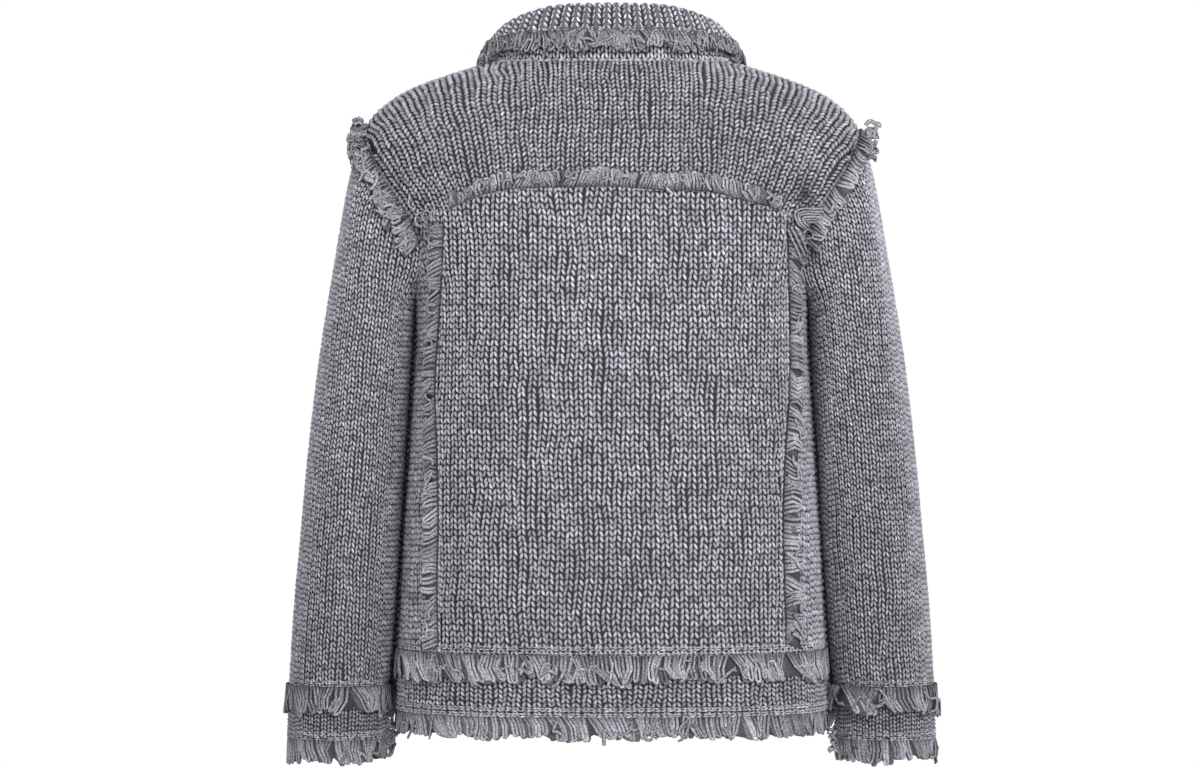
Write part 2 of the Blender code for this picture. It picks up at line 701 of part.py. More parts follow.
def build_body_fringes():
    yoke_line = yoke_seam_run(100)
    places = np.linspace(0, 1, len(yoke_line))

    def yoke(at, drop, lift):
        share = 1 - (0.05 + 0.90 * at)
        angle = np.interp(share, places, yoke_line[:, 0])
        height = np.interp(share, places, yoke_line[:, 1])
        return on_torso(angle, height + 0.001 + drop, lift)

    comb("fringe_yoke", "fringe_yoke", yoke, 0.001, 11)

    for side, name in ((1, "L"), (-1, "R")):
        top = YOKE_SEAM[0][1] if side > 0 else YOKE_SEAM[-1][1]

        def beside(at, drop, lift, side=side, top=top):
            share = at if side > 0 else 1 - at
            height = between(top - 0.022, WAIST_SEAM + 0.016, share)
            x = side * float(curve(BACK_SEAMS, 1 if side > 0 else 2, height))
            angle = float(body_angle(x, height, 1))
            reach = np.linalg.norm(torso(angle, height)[:2])
            turned = angle - side * (0.001 + drop * 0.94) / reach
            return on_torso(turned, height - 0.30 * drop, lift)

        comb("fringe_back_seam_" + name, "fringe_back_seam", beside, 0.0012, 21 + side)

    edge_x = BAND_HALF_WIDTH + 4 * SEAM_GAP
    start = float(body_angle(edge_x, WAIST_SEAM, -1))
    fine = ring_angles(WAIST_SEAM, start, math.pi - start, 400)
    stations = np.linspace(0, 1, len(fine))

    def waist(at, drop, lift):
        angle = np.interp(at, stations, fine)
        flat = TRIM_LIFT + TRIM_THICKNESS
        held = min(lift, flat) + max(lift - flat, 0.0) * math.sin(angle) ** 2
        return on_torso(angle, WAIST_SEAM - 0.002 - drop, held)

    comb("fringe_waist", "fringe_waist", waist, 0.003, 31)

    def hem(at, drop, lift):
        inward = TRIM_LIFT + TRIM_THICKNESS + 0.0002
        return on_torso(np.interp(at, stations, fine), HEM_EDGE - SEAM_GAP - drop, lift - inward)

    comb("fringe_hem", "fringe_hem", hem, 0.002, 41)


def mirror_comb(name, kind, point, spread, seed, wrap):
    """Comb for the left side, and its mirror image for the right one."""
    flip = np.array([-1.0, 1.0, 1.0])
    comb(name + "_L", kind, point, spread, seed, wrap)
    comb(name + "_R", kind, lambda at, drop, lift: point(1 - at, drop, lift) * flip,
         spread, seed + 1, wrap)


def build_arm_fringes():
    def shoulder(at, drop, lift):
        turn = between(-112.0, 112.0, at)
        base = sleeve(turn, 0.0) + clear_of_seam(np.array(turn))
        way = unit(sleeve(turn, 0.12) - sleeve(turn, 0.02))
        return base + way * (0.0015 + drop) + sleeve_normal(turn, 0.05) * (lift + 0.0006)

    mirror_comb("fringe_armhole", "fringe_armhole", shoulder, 0.0015, 51, False)

    def cuff_top(at, drop, lift):
        turn = 360.0 * at
        return cuff_ring(turn, CUFF_SEAM - 0.002 - drop) + cuff_normal(turn) * (lift + 0.0006)

    mirror_comb("fringe_cuff_seam", "fringe_cuff_seam", cuff_top, 0.0025, 61, True)

    def cuff_end(at, drop, lift):
        turn = 360.0 * at
        inward = TRIM_LIFT + TRIM_THICKNESS + 0.0002
        shift = cuff_normal(turn) * (lift - inward)
        return cuff_ring(turn, CUFF_EDGE - SEAM_GAP - drop) + shift

    mirror_comb("fringe_cuff_edge", "fringe_cuff_edge", cuff_end, 0.002, 71, True)


def build_collar_fringe():
    ends = collar_angles(1)

    def leaf(at, drop, lift):
        angle = np.array([between(ends[0] + 0.02, ends[1] - 0.02, at)])
        edge, out = collar_guides(angle)[2:4]
        up = np.array([0.0, 0.0, 1.0])
        inward = TRIM_LIFT + TRIM_THICKNESS + 0.0002
        share = float(curve(COLLAR_SECTIONS, 5, abs(math.degrees(angle[0]) - 90.0)))
        outward = lift - inward + 0.25 * drop
        return (edge + out * outward - up * (2 * SEAM_GAP + share * drop))[0]

    comb("fringe_collar", "fringe_collar", leaf, 0.001, 81)


def build_buttons():
    for number, height in enumerate(BUTTON_HEIGHTS, start=1):
        bpy.ops.mesh.primitive_cylinder_add(
            vertices=16, radius=BUTTON_RADIUS, depth=BUTTON_THICKNESS)
        button = bpy.context.object
        name = "button_" + str(number)
        button.name = name
        button.data.name = name
        angle = -math.pi / 2
        normal = torso_normal(angle, height)
        centre = torso(angle, height) + normal * (BUTTON_THICKNESS / 2 + 2 * SEAM_GAP)
        button.location = centre
        button.rotation_euler = (math.pi / 2 - math.asin(normal[2]), 0.0, 0.0)
        button.data.materials.append(material(name, BUTTON_COLOUR))
        for holder in list(button.users_collection):
            holder.objects.unlink(button)
        bpy.data.collections[COLLECTION].objects.link(button)


def main():
    clear_scene()
    parts = bpy.data.collections.new(COLLECTION)
    bpy.context.scene.collection.children.link(parts)
    build_back()
    build_fronts()
    build_front_bands()
    build_hem_band()
    build_sleeves()
    build_collar()
    build_body_fringes()
    build_arm_fringes()
    build_collar_fringe()
    build_buttons()


main()
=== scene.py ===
"""Looks of the cardigan: knit, seams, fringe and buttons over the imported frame.

Metres, in the part's own frame: +Z up, the front faces -Y, the left side is +X.
"""
import math

import bpy
import numpy as np
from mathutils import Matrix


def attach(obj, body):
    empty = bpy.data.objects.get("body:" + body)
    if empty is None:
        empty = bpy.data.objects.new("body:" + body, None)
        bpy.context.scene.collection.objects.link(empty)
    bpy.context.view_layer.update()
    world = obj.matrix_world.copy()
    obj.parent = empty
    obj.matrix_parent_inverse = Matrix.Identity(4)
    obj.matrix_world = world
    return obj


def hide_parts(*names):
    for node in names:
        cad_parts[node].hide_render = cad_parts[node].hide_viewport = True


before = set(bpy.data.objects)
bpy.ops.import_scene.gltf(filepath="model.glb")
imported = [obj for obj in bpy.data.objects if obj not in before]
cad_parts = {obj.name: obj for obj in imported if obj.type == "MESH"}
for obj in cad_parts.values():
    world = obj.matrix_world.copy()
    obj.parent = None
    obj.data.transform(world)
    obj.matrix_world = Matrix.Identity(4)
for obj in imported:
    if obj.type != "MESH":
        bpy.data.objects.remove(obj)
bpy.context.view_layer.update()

UP = np.array([0.0, 0.0, 1.0])
FLIP = np.array([-1.0, 1.0, 1.0])
# Brings the angle of an (angle, height) pair close to metres
FLAT = np.array([0.17, 1.0])
# Spacing of the lattices that carry the stitches
LATTICE = 0.003

# Cloth and seams, as in the part
WALL = 0.003
SEAM_GAP = 0.0003
TRIM_LIFT = 0.0006
TRIM_THICKNESS = 0.0022
EDGE_TRIM_IN = TRIM_LIFT + TRIM_THICKNESS + 0.0002
WAIST_SEAM = -0.525
HEM_EDGE = -0.578
CUFF_SEAM = -0.5575
CUFF_EDGE = -0.6045
FRONT_NECK_DROP = 0.062
BACK_NECK_DROP = 0.0015
BAND_HALF_WIDTH = 0.016
BAND_TUCK = 0.008
BUTTON_HEIGHTS = (-0.088, -0.181, -0.274, -0.367, -0.460, -0.552)

# Torso sections: height, half width, back depth, front depth, squareness
TORSO_SECTIONS = (
    (0.006, 0.0940, 0.0700, 0.0560, 2.00),
    (0.000, 0.1120, 0.0750, 0.0600, 2.00),
    (-0.011, 0.1470, 0.0850, 0.0660, 2.00),
    (-0.025, 0.1830, 0.0940, 0.0730, 2.02),
    (-0.040, 0.2060, 0.1010, 0.0800, 2.05),
    (-0.0585, 0.2210, 0.1065, 0.0870, 2.08),
    (-0.090, 0.2215, 0.1130, 0.0990, 2.14),
    (-0.120, 0.2130, 0.1175, 0.1100, 2.20),
    (-0.150, 0.2000, 0.1210, 0.1180, 2.26),
    (-0.180, 0.1860, 0.1240, 0.1240, 2.32),
    (-0.208, 0.1765, 0.1260, 0.1280, 2.36),
    (-0.235, 0.1745, 0.1270, 0.1290, 2.40),
    (-0.290, 0.1770, 0.1270, 0.1270, 2.45),
    (-0.350, 0.1805, 0.1260, 0.1240, 2.50),
    (-0.420, 0.1855, 0.1270, 0.1230, 2.50),
    (-0.490, 0.1890, 0.1290, 0.1240, 2.50),
    (-0.545, 0.1920, 0.1310, 0.1260, 2.50),
    (-0.580, 0.1930, 0.1320, 0.1270, 2.50),
    (-0.640, 0.1935, 0.1330, 0.1280, 2.50),
)

# Armhole round the left shoulder, a row each 22.5 degrees: angle, height
ARMHOLE = (
    (0.000, -0.0585),
    (0.105, -0.0690),
    (0.180, -0.0915),
    (0.272, -0.1165),
    (0.345, -0.1400),
    (0.380, -0.1630),
    (0.345, -0.1850),
    (0.205, -0.2020),
    (0.000, -0.2080),
    (-0.205, -0.2020),
    (-0.350, -0.1840),
    (-0.395, -0.1600),
    (-0.375, -0.1340),
    (-0.310, -0.1100),
    (-0.220, -0.0870),
    (-0.115, -0.0685),
)
UNDERARM = -0.208
SHOULDER_TIP = -0.0585
YOKE_CORNER = 96.0

# Yoke seam across the back: distance from the centre, height
YOKE_SEAM = (
    (0.1470, -0.1355),
    (0.1370, -0.1316),
    (0.1236, -0.1254),
    (0.0975, -0.1184),
    (0.0450, -0.1158),
    (0.0100, -0.1150),
    (-0.0430, -0.1180),
    (-0.0950, -0.1210),
    (-0.1130, -0.1262),
    (-0.1303, -0.1300),
    (-0.1538, -0.1370),
)

# Long back seams: height, distance of the left one and of the right one from the centre
BACK_SEAMS = (
    (-0.1355, 0.1470, 0.1538),
    (-0.190, 0.1490, 0.1552),
    (-0.240, 0.1520, 0.1562),
    (-0.291, 0.1550, 0.1560),
    (-0.340, 0.1535, 0.1525),
    (-0.410, 0.1520, 0.1500),
    (-0.465, 0.1530, 0.1512),
    (-0.530, 0.1515, 0.1530),
)

# Sleeve sections: centre x, centre z, outward reach in x and in z, half depth
SLEEVE_SECTIONS = (
    (0.2060, -0.1640, 0.0285, 0.0640, 0.0640),
    (0.2140, -0.2180, 0.0345, 0.0400, 0.0630),
    (0.2220, -0.2800, 0.0405, 0.0150, 0.0615),
    (0.2290, -0.3500, 0.0435, 0.0000, 0.0595),
    (0.2340, -0.4200, 0.0450, 0.0000, 0.0575),
    (0.2395, -0.4900, 0.0458, 0.0000, 0.0555),
    (0.2445, -0.5575, 0.0450, 0.0000, 0.0535),
)
CUFF_CENTRE = 0.2465
CUFF_HALF_WIDTH = 0.0450
CUFF_HALF_DEPTH = 0.0520

# Soft folds of the torso: angle and height of the middle, reach round and up, rise
TORSO_FOLDS = (
    (1.64, -0.390, 0.15, 0.055, -0.0024),
    (1.22, -0.455, 0.14, 0.050, 0.0018),
    (2.02, -0.330, 0.13, 0.060, 0.0016),
    (2.68, -0.128, 0.09, 0.020, -0.0022),
    (4.15, -0.330, 0.16, 0.070, -0.0028),
    (5.28, -0.420, 0.17, 0.070, -0.0026),
    (4.30, -0.460, 0.13, 0.050, 0.0020),
)

# Soft folds of the sleeve: turn and place of the middle, reach round and along, rise
SLEEVE_FOLDS = (
    (50.0, 1.7, 17.0, 0.9, 0.0030),
    (118.0, 3.5, 24.0, 0.7, -0.0024),
    (292.0, 3.1, 24.0, 0.6, -0.0030),
    (262.0, 4.0, 24.0, 0.5, 0.0020),
    (70.0, 5.2, 22.0, 0.7, 0.0016),
)

# Collar, by the angle from the centre back in degrees: height of the fold, how far the
# stand leans in, height of the leaf's edge, its distance from the stand, fringe share
COLLAR_SECTIONS = (
    (0.0, 0.0485, 0.0045, 0.0235, 0.0100, 1.00),
    (45.0, 0.0455, 0.0080, 0.0225, 0.0095, 1.00),
    (75.0, 0.0340, 0.0150, 0.0155, 0.0085, 0.60),
    (90.0, 0.0260, 0.0175, 0.0120, 0.0080, 0.45),
    (135.0, -0.0060, 0.0160, -0.0250, 0.0110, 0.50),
    (180.0, -0.0300, 0.0110, -0.0540, 0.0150, 0.90),
)
COLLAR_END = 6.0
COLLAR_RIBS = 54
RIB_RISE = 0.0012
RIB_SINK = 0.0013
FOLD_RADIUS = 0.0056
LEAF_TURN_BACK = 0.003

# Knit: stitch width, stitch height, rise of the yarn
GAUGE_BACK = (0.0083, 0.0052, 0.0010)
GAUGE_YOKE = (0.0080, 0.0043, 0.0010)
GAUGE_SLEEVE = (0.0064, 0.0047, 0.0009)
GAUGE_HEM = (0.0088, 0.0041, 0.0009)
GAUGE_CUFF = (0.0063, 0.0037, 0.0008)
GAUGE_STAND = (0.0066, 0.0042, 0.0008)
GAUGE_BAND = (0.0064, 0.0042, 0.0007)

# The legs of a stitch, from top to foot: shift across and up in stitches, rise, half width
# in stitches, shade. The shade is painted shade: dark at the tucked ends of each leg, and
# lighter on the right leg, which faces the light
LEFT_LEG = (
    (0.160, 0.66, -0.95, 0.115, 0.10),
    (0.205, 0.24, 0.78, 0.175, 0.82),
    (0.280, -0.24, 0.84, 0.180, 0.85),
    (0.345, -0.62, -0.95, 0.115, 0.11),
)
RIGHT_LEG = (
    (0.105, 0.64, -1.00, 0.100, 0.08),
    (0.190, 0.23, 0.90, 0.175, 0.98),
    (0.305, -0.23, 1.05, 0.180, 1.04),
    (0.395, -0.60, -0.95, 0.105, 0.10),
)
# Middle station of a plain leg against the mean of the two middle ones, column by column; the last
# lightens its painted shade
PLAIN_SWELL = np.array([1.0, 1.0, 1.15, 1.08, 1.06])
EDGE_DROP = 1.4
# Painted shade on the sides of each leg, as a share of its middle
EDGE_SHADE = 0.34
# Random spread of the legs: shift across and up, puff, tone
LEG_SPREAD = (0.02, 0.07, 0.14, 0.12)
TONE_RANGE = (0.05, 2.0)

# Depth of the backing under the stitches, painted dark for the shade between them
BASE_DEPTH = 0.0016

# Height below which a knit gets darker with painted shade, and the range of that painted shade
LOW_SHADE_LEVEL = 0.30
LOW_SHADE_RANGE = (0.6, 1.3)

# Painted shade in the soft hollows of the back and painted highlight on its swells: place
# across and up, half sizes, depth, negative for a painted highlight
SHADES = (
    (-0.1704, -0.1213, 0.0081, 0.0135, 0.80),
    (-0.1783, -0.1511, 0.0108, 0.0054, 0.55),
    (-0.1774, -0.1704, 0.0072, 0.0144, 0.85),
    (0.1630, -0.1546, 0.0081, 0.0081, 0.45),
    (0.1876, -0.1055, 0.0045, 0.0108, 0.35),
    (0.2157, -0.1485, 0.0063, 0.0405, -0.14),
    (0.2043, -0.1546, 0.0054, 0.0360, 0.14),
    (0.0104, -0.4468, 0.0540, 0.0540, 0.05),
    (0.1376, -0.4424, 0.0126, 0.0810, 0.10),
    (-0.1388, -0.2143, 0.0126, 0.0810, 0.08),
    (0.2341, -0.4073, 0.0072, 0.1080, -0.08),
    (0.1876, -0.4073, 0.0072, 0.1440, 0.28),
    (-0.1932, -0.4073, 0.0072, 0.1440, -0.35),
    (-0.1213, -0.0563, 0.0540, 0.0540, 0.12),
    (-0.2397, -0.3898, 0.0081, 0.1440, 0.10),
    (-0.2090, -0.2406, 0.0090, 0.0720, -0.08),
    (0.0455, -0.2143, 0.1080, 0.0540, -0.04),
)

# Loose yarn ends at the corners of the fringe: lift from the back, places across and up
LOOSE_ENDS = (
    (0.0036, ((-0.1711, -0.1522), (-0.1632, -0.1469), (-0.1605, -0.1373),
              (-0.1684, -0.1329), (-0.1825, -0.1324), (-0.2009, -0.1259))),
    (0.0048, ((-0.1712, -0.1510), (-0.1646, -0.1463), (-0.1625, -0.1387),
              (-0.1697, -0.1352), (-0.1825, -0.1346), (-0.2009, -0.1280))),
    (0.0036, ((-0.1714, -0.1499), (-0.1660, -0.1457), (-0.1644, -0.1401),
              (-0.1709, -0.1374), (-0.1825, -0.1368), (-0.2009, -0.1301))),
    (0.0048, ((-0.1716, -0.1487), (-0.1674, -0.1451), (-0.1663, -0.1415),
              (-0.1721, -0.1397), (-0.1825, -0.1390), (-0.2009, -0.1322))),
    (0.0036, ((-0.1718, -0.1476), (-0.1688, -0.1444), (-0.1683, -0.1429),
              (-0.1733, -0.1420), (-0.1825, -0.1412), (-0.2009, -0.1343))),
    (0.0048, ((-0.1719, -0.1465), (-0.1702, -0.1438), (-0.1702, -0.1443),
              (-0.1746, -0.1443), (-0.1825, -0.1434), (-0.2009, -0.1364))),
    (0.0060, ((-0.1544, -0.1495), (-0.1588, -0.1583), (-0.1632, -0.1671), (-0.1658, -0.1741))),
    (0.0062, ((-0.1579, -0.1487), (-0.1623, -0.1557), (-0.1658, -0.1644), (-0.1684, -0.1706))),
    (0.0060, ((-0.1518, -0.1513), (-0.1553, -0.1600), (-0.1597, -0.1688), (-0.1623, -0.1767))),
    (0.0066, ((-0.1649, -0.1548), (-0.1684, -0.1504), (-0.1728, -0.1530),
              (-0.1719, -0.1574), (-0.1676, -0.1583))),
    (0.0050, ((0.0945, -0.1171), (0.0927, -0.1110), (0.0883, -0.1101), (0.0857, -0.1136))),
    (0.0045, ((-0.0466, -0.1171), (-0.0492, -0.1197), (-0.0519, -0.1224), (-0.0501, -0.1250))),
    (0.0045, ((0.1646, -0.1495), (0.1699, -0.1443), (0.1690, -0.1381), (0.1646, -0.1364))),
    (0.0050, ((0.1593, -0.1460), (0.1637, -0.1416), (0.1611, -0.1346), (0.1567, -0.1373))),
    (0.0046, ((0.1707, -0.1338), (0.1760, -0.1294), (0.1751, -0.1215))),
    (0.0046, ((0.1523, -0.1443), (0.1567, -0.1390), (0.1532, -0.1320))),
    (0.0045, ((0.1506, -0.1583), (0.1567, -0.1565), (0.1585, -0.1618),
              (0.1532, -0.1644), (0.1488, -0.1618))),
    (0.0045, ((0.1558, -0.1548), (0.1611, -0.1522), (0.1620, -0.1574), (0.1576, -0.1600))),
)
# Matted ends at the shoulder tips, collar and inner cuffs: start line, depth, count, reach
MATTED_ENDS = (
    (0.2165, -0.0756, 0.2192, -0.0935, 0.034, 10, 0.0117, -0.0009),
    (0.2197, -0.0572, 0.2215, -0.0912, 0.024, 24, 0.0108, 0.0009),
    (0.2219, -0.0576, 0.2237, -0.0531, 0.016, 6, 0.0063, 0.0009),
    (-0.2279, -0.0552, -0.2296, -0.0856, 0.020, 15, -0.0081, 0.0009),
    (0.0970, 0.0139, 0.0988, 0.0041, 0.030, 8, 0.0117, 0.0000),
    (0.0999, 0.0056, 0.0999, -0.0016, 0.022, 9, 0.0153, 0.0000),
    (-0.0988, 0.0047, -0.0988, -0.0016, 0.022, 8, -0.0144, 0.0000),
    (0.2043, -0.5645, 0.2043, -0.6022, 0.010, 16, -0.0081, -0.0045),
    (0.2052, -0.6022, 0.2079, -0.6220, 0.010, 8, -0.0108, 0.0045),
    (-0.2051, -0.5663, -0.2051, -0.6022, 0.010, 14, 0.0090, -0.0045),
    (-0.2078, -0.6058, -0.2096, -0.6220, 0.010, 6, 0.0108, 0.0027),
)


def curve(table, column, at):
    """Read one column of a table as a smooth curve of its first column."""
    rows = np.array(sorted(table))
    knots = rows[:, 0]
    values = rows[:, column]
    slopes = np.gradient(values, knots)
    at = np.clip(np.asarray(at, float), knots[0], knots[-1])
    low = np.clip(np.searchsorted(knots, at) - 1, 0, len(knots) - 2)
    span = knots[low + 1] - knots[low]
    t = (at - knots[low]) / span
    start = (1 + 2 * t) * (1 - t) ** 2 * values[low] + t * (1 - t) ** 2 * span * slopes[low]
    end = t * t * (3 - 2 * t) * values[low + 1] + t * t * (t - 1) * span * slopes[low + 1]
    return start + end


def unit(vectors):
    return vectors / np.maximum(np.linalg.norm(vectors, axis=-1, keepdims=True), 1e-12)


def track_length(points, axis=0):
    """Length along a run or a grid of points, from 0 at its start."""
    edges = np.linalg.norm(np.diff(points, axis=axis), axis=-1)
    return np.concatenate([np.zeros_like(edges.take([0], axis)), np.cumsum(edges, axis)], axis)


def resampled(at, places, grid):
    """Rows of a run or grid of points, read again at other places."""
    columns = grid.reshape(len(grid), -1).T
    rows = np.stack([np.interp(at, places, column) for column in columns], axis=-1)
    return rows.reshape(len(at), *grid.shape[1:])


def rows_at(places, lengths, values):
    """Values at the same places along each row of a grid with known lengths."""
    return np.stack([np.interp(places, line, row) for line, row in zip(lengths, values)])


def flipped(points):
    """The same run or grid of points on the right side of the garment."""
    return points[..., ::-1, :] * FLIP


def torso(angle, height):
    """Point of the torso's outer face at an angle from +X and a height."""
    angle, height = np.broadcast_arrays(np.asarray(angle, float), np.asarray(height, float))
    half = curve(TORSO_SECTIONS, 1, height)
    back = curve(TORSO_SECTIONS, 2, height)
    front = curve(TORSO_SECTIONS, 3, height)
    power = curve(TORSO_SECTIONS, 4, height)
    depth = np.where(np.sin(angle) >= 0, back, front)
    across = (np.abs(np.cos(angle)) / half) ** power
    along = (np.abs(np.sin(angle)) / depth) ** power
    reach = (across + along) ** (-1 / power)
    for middle, level, wide, tall, rise in TORSO_FOLDS:
        away = (np.mod(angle - middle + math.pi, 2 * math.pi) - math.pi) / wide
        reach = reach + rise * np.exp(-away ** 2 - ((height - level) / tall) ** 2)
    return np.stack([reach * np.cos(angle), reach * np.sin(angle), height], axis=-1)


def torso_normal(angle, height):
    turn = 1e-4
    drop = 1e-5
    round_it = torso(angle + turn, height) - torso(angle - turn, height)
    up_it = torso(angle, height + drop) - torso(angle, height - drop)
    return unit(np.cross(round_it, up_it))


def body_angle(x, height, side):
    """Angle of the torso point at a distance x from the centre, side +1 back, -1 front."""
    half = curve(TORSO_SECTIONS, 1, height)
    depth = curve(TORSO_SECTIONS, 2 if side > 0 else 3, height)
    power = curve(TORSO_SECTIONS, 4, height)
    y = side * depth * np.maximum(1 - (np.abs(x) / half) ** power, 0) ** (1 / power)
    return np.arctan2(y, x)


def places_at(x, heights, side):
    """(angle, height) pairs at distances x from the centre, side +1 back, -1 front."""
    return np.stack([body_angle(x, heights, side), heights], axis=-1)


def neck_height(angle):
    """Height of the neck seam: nearly level over the back, dropping at the front."""
    lean = np.sin(angle)
    front = FRONT_NECK_DROP * np.abs(np.minimum(lean, 0)) ** 1.6
    back = BACK_NECK_DROP * np.maximum(lean, 0) ** 2
    return -front - back


def armhole(turn):
    """Angle and height of the armhole at a turn in degrees from the shoulder tip."""
    rows = np.array(ARMHOLE)
    place = np.asarray(turn, float) / 360 * len(rows)
    low = np.floor(place).astype(int)
    t = (place - low)[..., None]
    before, here, after, beyond = (rows[(low + k) % len(rows)] for k in (-1, 0, 1, 2))
    smooth = 2 * here + (after - before) * t
    smooth = smooth + (2 * before - 5 * here + 4 * after - beyond) * t ** 2
    return 0.5 * (smooth + (3 * here - before - 3 * after + beyond) * t ** 3)


def run(start, end, steps):
    """Straight run of (angle, height) pairs."""
    return np.linspace(np.asarray(start, float), np.asarray(end, float), steps + 1)


def join(*runs):
    """Join runs end to end, keeping each shared corner once."""
    return np.concatenate([runs[0]] + [r[1:] for r in runs[1:]])


def mirrored(pairs):
    """The same (angle, height) pairs on the right side of the garment."""
    return np.stack([math.pi - pairs[:, 0], pairs[:, 1]], axis=-1)


def coons(bottom, top, left, right):
    """Blend four boundary runs into a grid of rows (going up) by columns (going round)."""
    s = np.linspace(0, 1, len(bottom))[None, :, None]
    v = np.linspace(0, 1, len(left))[:, None, None]
    between_sides = (1 - s) * left[:, None] + s * right[:, None]
    between_ends = (1 - v) * bottom[None] + v * top[None]
    corners = (1 - v) * ((1 - s) * bottom[0] + s * bottom[-1])
    corners = corners + v * ((1 - s) * top[0] + s * top[-1])
    return between_sides + between_ends - corners


def inset(points, normals, amount):
    """Draw the four edges of a grid in by the same amount, along the cloth."""
    shift = np.zeros_like(points)
    for turned in (False, True):
        grid = points.swapaxes(0, 1) if turned else points
        faces = normals.swapaxes(0, 1) if turned else normals
        move = shift.swapaxes(0, 1) if turned else shift
        for edge, inner in ((0, 1), (-1, -2)):
            along = np.gradient(grid[edge], axis=0)
            inward = unit(np.cross(faces[edge], along))
            ahead = np.sum(inward * (grid[inner] - grid[edge]), axis=-1, keepdims=True)
            move[edge] += inward * np.sign(ahead) * amount
    return points + shift


def back_seam(side, heights):
    """Run up a long back seam, side +1 for the left one and -1 for the right one."""
    return places_at(side * curve(BACK_SEAMS, 1 if side > 0 else 2, heights), heights, 1)


def yoke_seam_run(steps):
    """Run along the yoke seam from the left back seam to the right one."""
    x = np.linspace(YOKE_SEAM[0][0], YOKE_SEAM[-1][0], steps + 1)
    return places_at(x, curve(YOKE_SEAM, 1, x), 1)


def even_run(level, start, end, steps):
    """Run round the torso in equal steps. level gives the height at each angle."""
    fine = np.linspace(start, end, 600)
    length = track_length(torso(fine, level(fine)))
    angles = np.interp(np.linspace(0, length[-1], steps + 1), length, fine)
    return np.stack([angles, level(angles)], axis=-1)


def level_run(height, start, end, steps):
    return even_run(lambda angle: np.full_like(angle, height), start, end, steps)


def sleeve_ring(row, turn):
    """Point of one sleeve section at a turn in degrees, 0 outside, 90 behind."""
    centre_x, centre_z, reach_x, reach_z, depth = row
    cos = np.cos(np.radians(turn))
    sin = np.sin(np.radians(turn))
    return np.stack([centre_x + reach_x * cos, depth * sin, centre_z + reach_z * cos], axis=-1)


def sleeve(turn, place_along):
    """Point of the left sleeve, from 0 at the armhole to 7 at the cuff seam."""
    turn, place_along = np.broadcast_arrays(
        np.asarray(turn, float), np.asarray(place_along, float))
    seam = armhole(turn)
    rings = [torso(seam[..., 0], seam[..., 1])]
    rings += [sleeve_ring(row, turn) for row in SLEEVE_SECTIONS]
    rings = np.stack(rings)
    slopes = np.gradient(rings, axis=0)
    low = np.clip(np.floor(place_along).astype(int), 0, len(rings) - 2)
    t = (place_along - low)[..., None]
    here = low[None, ..., None]
    first, second = (np.take_along_axis(rings, here + k, axis=0)[0] for k in (0, 1))
    rise_a, rise_b = (np.take_along_axis(slopes, here + k, axis=0)[0] for k in (0, 1))
    start = (1 + 2 * t) * (1 - t) ** 2 * first + t * (1 - t) ** 2 * rise_a
    end = t * t * (3 - 2 * t) * second + t * t * (t - 1) * rise_b
    rise = np.zeros_like(turn)
    for middle, level, wide, tall, height in SLEEVE_FOLDS:
        away = (np.mod(turn - middle + 180.0, 360.0) - 180.0) / wide
        rise = rise + height * np.exp(-away ** 2 - ((place_along - level) / tall) ** 2)
    facing = np.stack([np.cos(np.radians(turn)), np.sin(np.radians(turn)), 0 * turn], axis=-1)
    return start + end + facing * rise[..., None]


def sleeve_normal(turn, place_along):
    step = 0.02
    low = np.maximum(place_along - step, 0.0)
    high = np.minimum(place_along + step, float(len(SLEEVE_SECTIONS)))
    round_it = sleeve(turn + 1.0, place_along) - sleeve(turn - 1.0, place_along)
    down_it = sleeve(turn, high) - sleeve(turn, low)
    return unit(np.cross(down_it, round_it))


def seam_frame(turn):
    """Torso normal at the armhole, and the way along the torso into the armhole."""
    seam = armhole(turn)
    normal = torso_normal(seam[..., 0], seam[..., 1])
    around = armhole(turn + 1.0) - armhole(turn - 1.0)
    ahead = torso(seam[..., 0] + around[..., 0], seam[..., 1] + around[..., 1])
    along = ahead - torso(seam[..., 0], seam[..., 1])
    return normal, unit(np.cross(along, normal))


def clear_of_seam(turn):
    """Shift of the sleeve's first ring that keeps its wall off the torso's wall."""
    normal, inward = seam_frame(turn)
    leaving = unit(sleeve(turn, 0.1) - sleeve(turn, 0.0))
    rise = np.sum(leaving * normal, axis=-1, keepdims=True)
    onward = np.sum(leaving * inward, axis=-1, keepdims=True)
    lift = np.where(onward > 0, np.clip(rise, 0, 1), 1.0)
    dip = 1.3 * WALL * np.clip(-rise, 0, 1)
    return (SEAM_GAP + dip) * inward + SEAM_GAP * lift * normal


def cuff_ring(turn, height):
    """Point of the left cuff's outer face."""
    turn, height = np.broadcast_arrays(np.asarray(turn, float), np.asarray(height, float))
    last = SLEEVE_SECTIONS[-1]
    share = (CUFF_SEAM - height) / (CUFF_SEAM - CUFF_EDGE)
    cos = np.cos(np.radians(turn))
    sin = np.sin(np.radians(turn))
    x = last[0] + (CUFF_CENTRE - last[0]) * share
    x = x + (last[2] + (CUFF_HALF_WIDTH - last[2]) * share) * cos
    y = (last[4] + (CUFF_HALF_DEPTH - last[4]) * share) * sin
    return np.stack([x, y, height], axis=-1)


def cuff_normal(turn):
    last = SLEEVE_SECTIONS[-1]
    cos = np.cos(np.radians(turn)) / last[2]
    sin = np.sin(np.radians(turn)) / last[4]
    return unit(np.stack([cos, sin, np.zeros_like(cos)], axis=-1))


def collar_angles(steps):
    """Angles round the collar from its left front end over the back to the right one."""
    end = math.radians(COLLAR_END)
    return np.linspace(-math.pi / 2 + end, 1.5 * math.pi - end, steps + 1)


